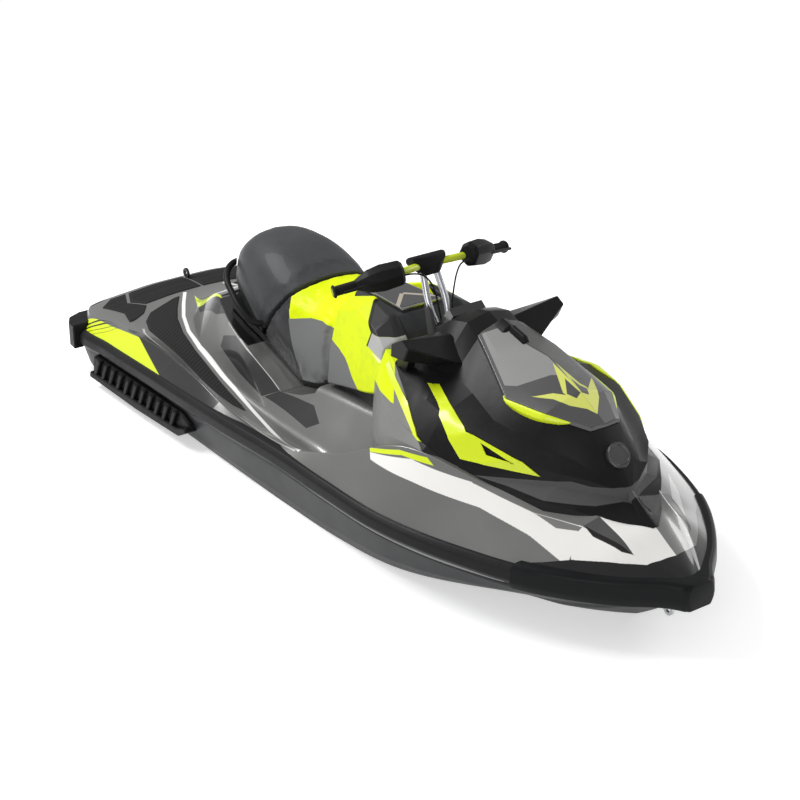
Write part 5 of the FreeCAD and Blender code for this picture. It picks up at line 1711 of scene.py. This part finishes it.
@dataclass
class Console(Assembly):
    """Console in front of the saddle with its glove lid, gauges and padded knee bolsters."""

    stations: Shares = (.4555, .50, .545, .568)
    low: Shares = ((.33, .47), (.36, .48), (.40, .50), (.42, .51))
    side: Shares = ((.28, .66), (.29, .70), (.36, .715), (.38, .72))
    top: Shares = ((.16, .804), (.17, .804), (.20, .804), (.23, .738))
    crown: Sequence[float] = (.804, .804, .804, .738)
    bolster_stations: Shares = (.458, .50, .545, .572)
    bolster_outlines: Sequence[Shares] = (
        ((.10, .50), (.395, .50), (.375, .62), (.31, .76), (.20, .79), (.175, .79)),
        ((.10, .51), (.425, .535), (.375, .66), (.32, .80), (.215, .832), (.185, .832)),
        ((.10, .52), (.44, .565), (.41, .68), (.37, .775), (.25, .812), (.20, .812)),
        ((.10, .53), (.45, .59), (.43, .69), (.41, .74), (.30, .757), (.23, .757)))

    def build(self) -> None:
        """Builds and fits the console's pieces."""
        self.body()
        self.bolsters()
        self.glove_lid()
        self.dress(self.finish(Gloss("gauge_gloss", (0.010, 0.010, 0.011), 0.0, 0.2, 1.0)), "gauge_cluster")

    def body(self) -> None:
        """The console's shell, open over the glove box."""
        net = self.craft.net(self.stations, [self.low, self.side, self.top, centred(self.crown)])
        half = np.concatenate([net[:, :1] * (1, 0, 1), net], 1)
        piece = faceted("console_shell", both_sides(half), 5 * MM, angle=14)
        low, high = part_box("glove_box_lid")
        border, floor = 22 * MM, self.craft.up(.703)
        carved(piece, [block("glove_cut", (low.x + border, low.y + border, floor),
                             (high.x - border, high.y - border, high.z + 1))])
        grey = self.finish(Moulded("console_plastic", (0.040, 0.041, 0.043), 0.42, 900, 0.06 * MM))
        self.fit(piece, Body.HULL, "console", grey, "console")

    def bolsters(self) -> None:
        """Padded knee bolsters beside the console: soft faceted blocks of yellow vinyl."""
        grid = self.craft.at(stationed(self.bolster_stations, self.bolster_outlines))
        port = faceted("bolster_port", grid, 13 * MM, 6, 12)
        seam = ((.503, .84), (.5410, .7645), (.5360, .716))
        panels = [INSERT,
                  Decal(CHARCOAL, ((.5427, .7645), (.62, .7645), (.62, .90), (.505, .835))),
                  Decal((0.40, 0.40, 0.395), ((.5373, .716), (.62, .69), (.62, .7645), (.5427, .7645))),
                  Decal(PALE_YELLOW, ((.537, .714), (.567, .694), (.60, .684), (.60, .705), (.570, .706))),
                  *thin_line(self.craft, BLACK, seam, 9 * MM, View.SIDE)]
        yellow = self.painted(vinyl("bolster_vinyl", ACID_YELLOW), panels)
        piece = self.fit(paired("knee_bolsters_dressed", port), Body.HULL, "seat_yellow", yellow,
                         "knee_bolsters")

    def glove_lid(self) -> None:
        """A gloss black plate with a bright rim on the console."""
        low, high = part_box("glove_box_lid")
        back_share, thick = 0.85, 9 * MM
        plan = np.array([(low.x, low.y * back_share), (high.x, low.y), (high.x, high.y),
                         (low.x, high.y * back_share)])
        plate = faceted("glove_lid_plate", upright(plan, (high.z - thick, high.z), 2), 3 * MM, 4)
        gloss = Gloss("glove_lid_gloss", (0.012, 0.012, 0.013), 0.0, 0.25, 0.8)
        stripes = thin_line(self.craft, (0.42, 0.36, 0.29), ((.506, .01), (.5335, .15)), 16 * MM)
        self.fit(plate, Body.GLOVE, "glove_lid", self.painted(gloss, stripes), "glove_box_lid")
        middle = (plan.min(0) + plan.max(0)) / 2
        outer = middle + (plan - middle) * (1.03, 1.07)
        rows = [upright(edge, (high.z - drop,), 2)[0] for edge, drop in (
            (outer, thick), (outer, 2.5 * MM), (plan, 1.5 * MM), (plan, thick))]
        grid = np.swapaxes(np.array(rows), 0, 1)
        frame = net_object("glove_lid_frame", np.concatenate([grid, grid[:1]]), 25, capped=False)
        self.fit(frame, Body.GLOVE, "glove_lid", self.finish(Cast("bright_rim", (0.62, 0.62, 0.62), 0.22)))


@dataclass
class Steering(Assembly):
    """Handlebar on a leaning column: riser arms, pad, grips, housings and levers."""

    foot: tuple[float, float, float] = (.5847, 0, .7487)
    rake: float = 24.6
    column: float = 238 * MM
    riser_radius: float = 13 * MM
    bar_drop: float = 13 * MM
    bar: Shares = ((.0, 0), (.04, .13), (.055, .30), (-.01, .44), (-.075, .64))
    bar_radius: float = 14 * MM
    grip_length: float = 125 * MM
    grip_radius: float = 18 * MM
    collar_radius: float = 24 * MM
    flare: float = 6.5 * MM
    rib_pitch: float = 6 * MM
    rib_rise: float = 0.9 * MM
    pad_size: tuple[float, float, float] = (74 * MM, 44 * MM, 74 * MM)
    housing_size: tuple[float, float, float] = (92 * MM, 52 * MM, 50 * MM)
    lift: float = 20 * MM

    def on_column(self, along: float, ahead: float = 0.0, aside: float = 0.0) -> np.ndarray:
        """Point by its distance along, ahead of and beside the steering axis."""
        rake = math.radians(self.rake)
        axis = np.array([-math.sin(rake), 0, math.cos(rake)])
        across = np.array([math.cos(rake), 0, math.sin(rake)])
        return self.craft.at(self.foot) + axis * along + across * ahead + np.array([0, aside, 0])

    def half_bar(self) -> np.ndarray:
        """Corners of the port half of the handlebar."""
        head = self.column + self.riser_radius + self.lift
        half = self.craft.half_beam
        return np.array([self.on_column(head - y / self.bar[-1][1] * self.bar_drop, x * half, y * half)
                         for x, y in self.bar])

    def build(self) -> None:
        """Builds and fits everything that turns with the handlebar."""
        black = self.finish(BLACK_PLASTIC)
        rubber = self.finish(Moulded("grip_rubber", (0.010, 0.010, 0.0105), 0.55, 1300, 0.1 * MM))
        corners = self.half_bar()
        route = np.concatenate([corners[:0:-1] * (1, -1, 1), corners])
        bar = net_object("handlebar_tube", carried(smooth_path(route, 90), ring(self.bar_radius, 24)))
        paint = self.finish(Gloss("bar_paint", (0.52, 0.62, 0.01), 0.0, 0.3, 0.5))
        self.fit(bar, Body.STEERING, "bar", paint, "handlebar")
        self.dress(self.finish(Cast("riser_alloy", (0.55, 0.56, 0.58), 0.28)), "steering_riser")
        self.dress(rubber, "control_cables")
        self.dress(black, "levers")
        self.yoke()
        self.pad(rubber)
        self.grips(rubber)
        self.housings(black)

    def yoke(self) -> None:
        """Grey side plates that clasp the feet of the riser arms and narrow upwards."""
        rows = np.array([(-6, 4, 56, 46), (60, 2, 50, 38), (140, 0, 40, 24), (196, 0, 34, 15)]) * MM
        half_thick = 8 * MM
        grid = [[self.on_column(along, ahead + fore * wide / 2, aside + out * half_thick)
                 for fore, out in ((-1, -1), (1, -1), (1, 1), (-1, 1))] for along, ahead, aside, wide in rows]
        yoke = paired("riser_yoke", faceted("yoke_port", np.array(grid), 3 * MM))
        grey = self.finish(Moulded("yoke_grey", (0.070, 0.070, 0.071), 0.40, 700, 0.05 * MM))
        self.fit(yoke, Body.STEERING, "riser", grey)

    def pad(self, rubber: Material) -> None:
        """Soft pad over the middle of the bar, wider in front than behind."""
        half_long, half_wide, tall = self.pad_size
        top = self.column + self.riser_radius + 0.78 * tall
        outline = ((-.55, .1), (-1, .45), (-.86, .86), (-.4, 1), (.5, 1), (1, .82), (1, .35), (.5, -.1))
        sections = ((-1, .42), (-.82, .62), (-.42, 1), (.42, 1), (.82, .62), (1, .42))
        grid = [[self.on_column(top + (up - 1) * tall * scale, ahead * half_wide * math.sqrt(scale),
                                aside * half_long) for ahead, up in outline] for aside, scale in sections]
        piece = faceted("bar_pad_dressed", np.array(grid), 7 * MM, 4, 18)
        self.fit(piece, Body.STEERING, "grip", rubber, "bar_pad")

    def grips(self, rubber: Material) -> None:
        """Rubber grips: rings along the hand's stretch, with ribs and a flared outer end."""
        inner, end = self.half_bar()[-2:]
        hand = (end - inner) / np.linalg.norm(end - inner)
        start = end - hand * self.grip_length
        t = np.linspace(0, 1, 190)
        ribs = ribbed(t * self.grip_length, self.rib_pitch) * ((t > .12) & (t < .88))
        radius = np.where(t < .05, self.collar_radius, self.grip_radius + self.rib_rise * ribs)
        swell = np.clip((t - .90) / .05, 0, 1) * np.sqrt(np.clip(1 - ((t - .955) / .05) ** 2, 0, 1))
        path = between(start, end, t[:, None])
        port = net_object("grip_port", carried(path, ring(1.0, 36), radius + self.flare * swell), 50)
        self.fit(paired("grips_dressed", port), Body.STEERING, "grip", rubber, "grips")

    def housings(self, black: Material) -> None:
        """Control housings: faceted pods about the bar that narrow to the grips."""
        corners = self.half_bar()
        middle, run = (corners[-3] + corners[-2]) / 2, corners[-2] - corners[-3]
        run /= np.linalg.norm(run)
        axis = self.on_column(1) - self.on_column(0)
        ahead = np.cross(run, axis)
        ahead *= math.copysign(1, ahead[0]) / np.linalg.norm(ahead)
        above = np.cross(ahead, run) * math.copysign(1, np.cross(ahead, run)[2])
        outline = ((-.75, -.35), (-.9, .25), (-.3, .9), (.35, 1), (1, .45), (1, -.2), (.4, -1), (-.35, -.9))
        sections = ((-1, .62, .66), (-.86, .85, .92), (-.1, 1, 1), (.45, .9, .85), (.85, .55, .50),
                    (1, .38, .36))
        axes = np.array([run, ahead, above]) * np.array(self.housing_size)[:, None]
        grid = [[middle + (along, fore * wide, up * tall) @ axes for fore, up in outline]
                for along, wide, tall in sections]
        port = faceted("housing_port", np.array(grid), 4 * MM, angle=16)
        self.fit(paired("control_housings_dressed", port), Body.STEERING, "black_plastic", black,
                 "control_housings")


@dataclass
class Machinery(Assembly):
    """Jet pump, engine and fittings: the frame's own solids with their finishes."""

    def build(self) -> None:
        """Dresses the solids."""
        cast = self.finish(Cast("pump_alloy_cast", (0.40, 0.41, 0.42), 0.42))
        steel = self.finish(Cast("stainless_steel", (0.56, 0.57, 0.58), 0.24, 0.7))
        black = self.finish(BLACK_PLASTIC)
        painted = self.finish(Gloss("engine_paint", (0.05, 0.05, 0.055), 0.0, 0.5, 0.1))
        self.dress(cast, "pump_housing", "venturi", "steering_nozzle", "reverse_gate", "ride_plate",
                   "intake_grate")
        self.dress(steel, "impeller", "drive_shaft", "bow_eye")
        self.dress(self.finish(Cast("dark_steel", (0.05, 0.05, 0.052), 0.45, 0.3)), "tow_eye")
        self.dress(black, "storage_bin", "drain_plugs")
        self.dress(painted, "engine_block")


# Studio


@dataclass
class Studio:
    """Camera, lamps, floor and backdrop."""

    target: tuple[float, float, float] = (0.001, 0.0, 0.293)
    azimuth: float = 53.716
    elevation: float = 24.827
    distance: float = 7.625
    lens: float = 89.18
    floor_radius: float = 60.0
    surroundings: float = 0.42

    def back(self) -> np.ndarray:
        """Direction from the target to the camera."""
        a, e = math.radians(self.azimuth), math.radians(self.elevation)
        return np.array([math.sin(a) * math.cos(e), -math.cos(a) * math.cos(e), math.sin(e)])

    def place_camera(self) -> None:
        """Adds the camera at the photograph's viewing angle."""
        data = bpy.data.cameras.new("camera")
        data.lens = self.lens
        camera = linked("camera", data)
        camera.location = Vector(self.target) + Vector(self.back()) * self.distance
        camera.rotation_euler = Vector(self.back()).to_track_quat("Z", "Y").to_euler()
        bpy.context.scene.camera = camera

    def lamp(self, name: str, place: Sequence[float], size: tuple[float, float], power: float) -> None:
        """Adds a soft rectangular lamp that faces the craft.

        Args:
            name: Its name.
            place: Its place, from the middle of the craft.
            size: Its width and height.
            power: Its power in watts.
        """
        data = bpy.data.lights.new(name, "AREA")
        data.shape = "RECTANGLE"
        data.size, data.size_y = size
        data.energy = power
        light = linked(name, data)
        light.location = Vector(place) + Vector(self.target)
        light.rotation_euler = Vector(place).to_track_quat("Z", "Y").to_euler()

    def build(self) -> None:
        """Adds the lamps, the floor at the waterline and the white surroundings."""
        self.lamp("key", (-3.4, -2.6, 5.2), (4.0, 3.0), 430)
        self.lamp("fill", (5.0, -5.5, 3.0), (4.0, 3.0), 120)
        self.lamp("rim", (1.5, 6.0, 3.4), (6.0, 1.6), 150)
        self.floor()
        self.world()
        bpy.context.scene.view_settings.view_transform = "Standard"

    def floor(self) -> None:
        """A pale floor that looks white to the camera and still takes the craft's shadow."""
        points = upright(ring(self.floor_radius, 64), (0,), 2)[0]
        mesh = bpy.data.meshes.new("studio_floor")
        mesh.from_pydata(points.tolist(), [], [range(64)])
        floor = linked("studio_floor", mesh)
        g = Graph("studio_floor_white")
        path = g.add("ShaderNodeLightPath")
        seen = path.out("Is Camera Ray") | path.out("Is Glossy Ray")
        matt = g.add("ShaderNodeBsdfDiffuse", None, {0: (0.8, 0.8, 0.8, 1.0)}).out(0)
        glow = g.add("ShaderNodeEmission", None, {0: (1, 1, 1, 1), 1: seen * 0.5}).out(0)
        both = g.add("ShaderNodeAddShader", None, {0: matt, 1: glow}).out(0)
        g.add("ShaderNodeOutputMaterial", None, {0: both})
        mesh.materials.append(g.owner)

    def world(self) -> None:
        """A soft grey world that the camera and glass see as white."""
        g = Graph("studio_world", world=True)
        path = g.add("ShaderNodeLightPath")
        seen = path.out("Is Camera Ray") | path.out("Is Transmission Ray")
        white = (1.0, 1.0, 1.0, 1.0)
        soft = g.add("ShaderNodeBackground", None, {0: white, 1: self.surroundings}).out(0)
        bright = g.add("ShaderNodeBackground", None, {0: white, 1: 1.0}).out(0)
        mixed = g.add("ShaderNodeMixShader", None, {0: seen, 1: soft, 2: bright}).out(0)
        g.add("ShaderNodeOutputWorld", None, {0: mixed})
        bpy.context.scene.world = g.owner


def main() -> None:
    """Builds the sub-assemblies in order and dresses the frame's own solids."""
    logging.basicConfig(level=logging.INFO, format="%(message)s")
    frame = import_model()
    studio = Studio()
    studio.place_camera()
    craft = Craft.measured()
    LOG.info("craft %s", craft)
    finishes: dict = {}
    for part in (Hull, Deck, Trim, Mats, Fairing, Blades, Lid, Mirrors, Seat, Console, Steering, Machinery):
        part(craft, finishes, frame["nodes"]).build()
    studio.build()


if __name__ == "__main__":
    main()
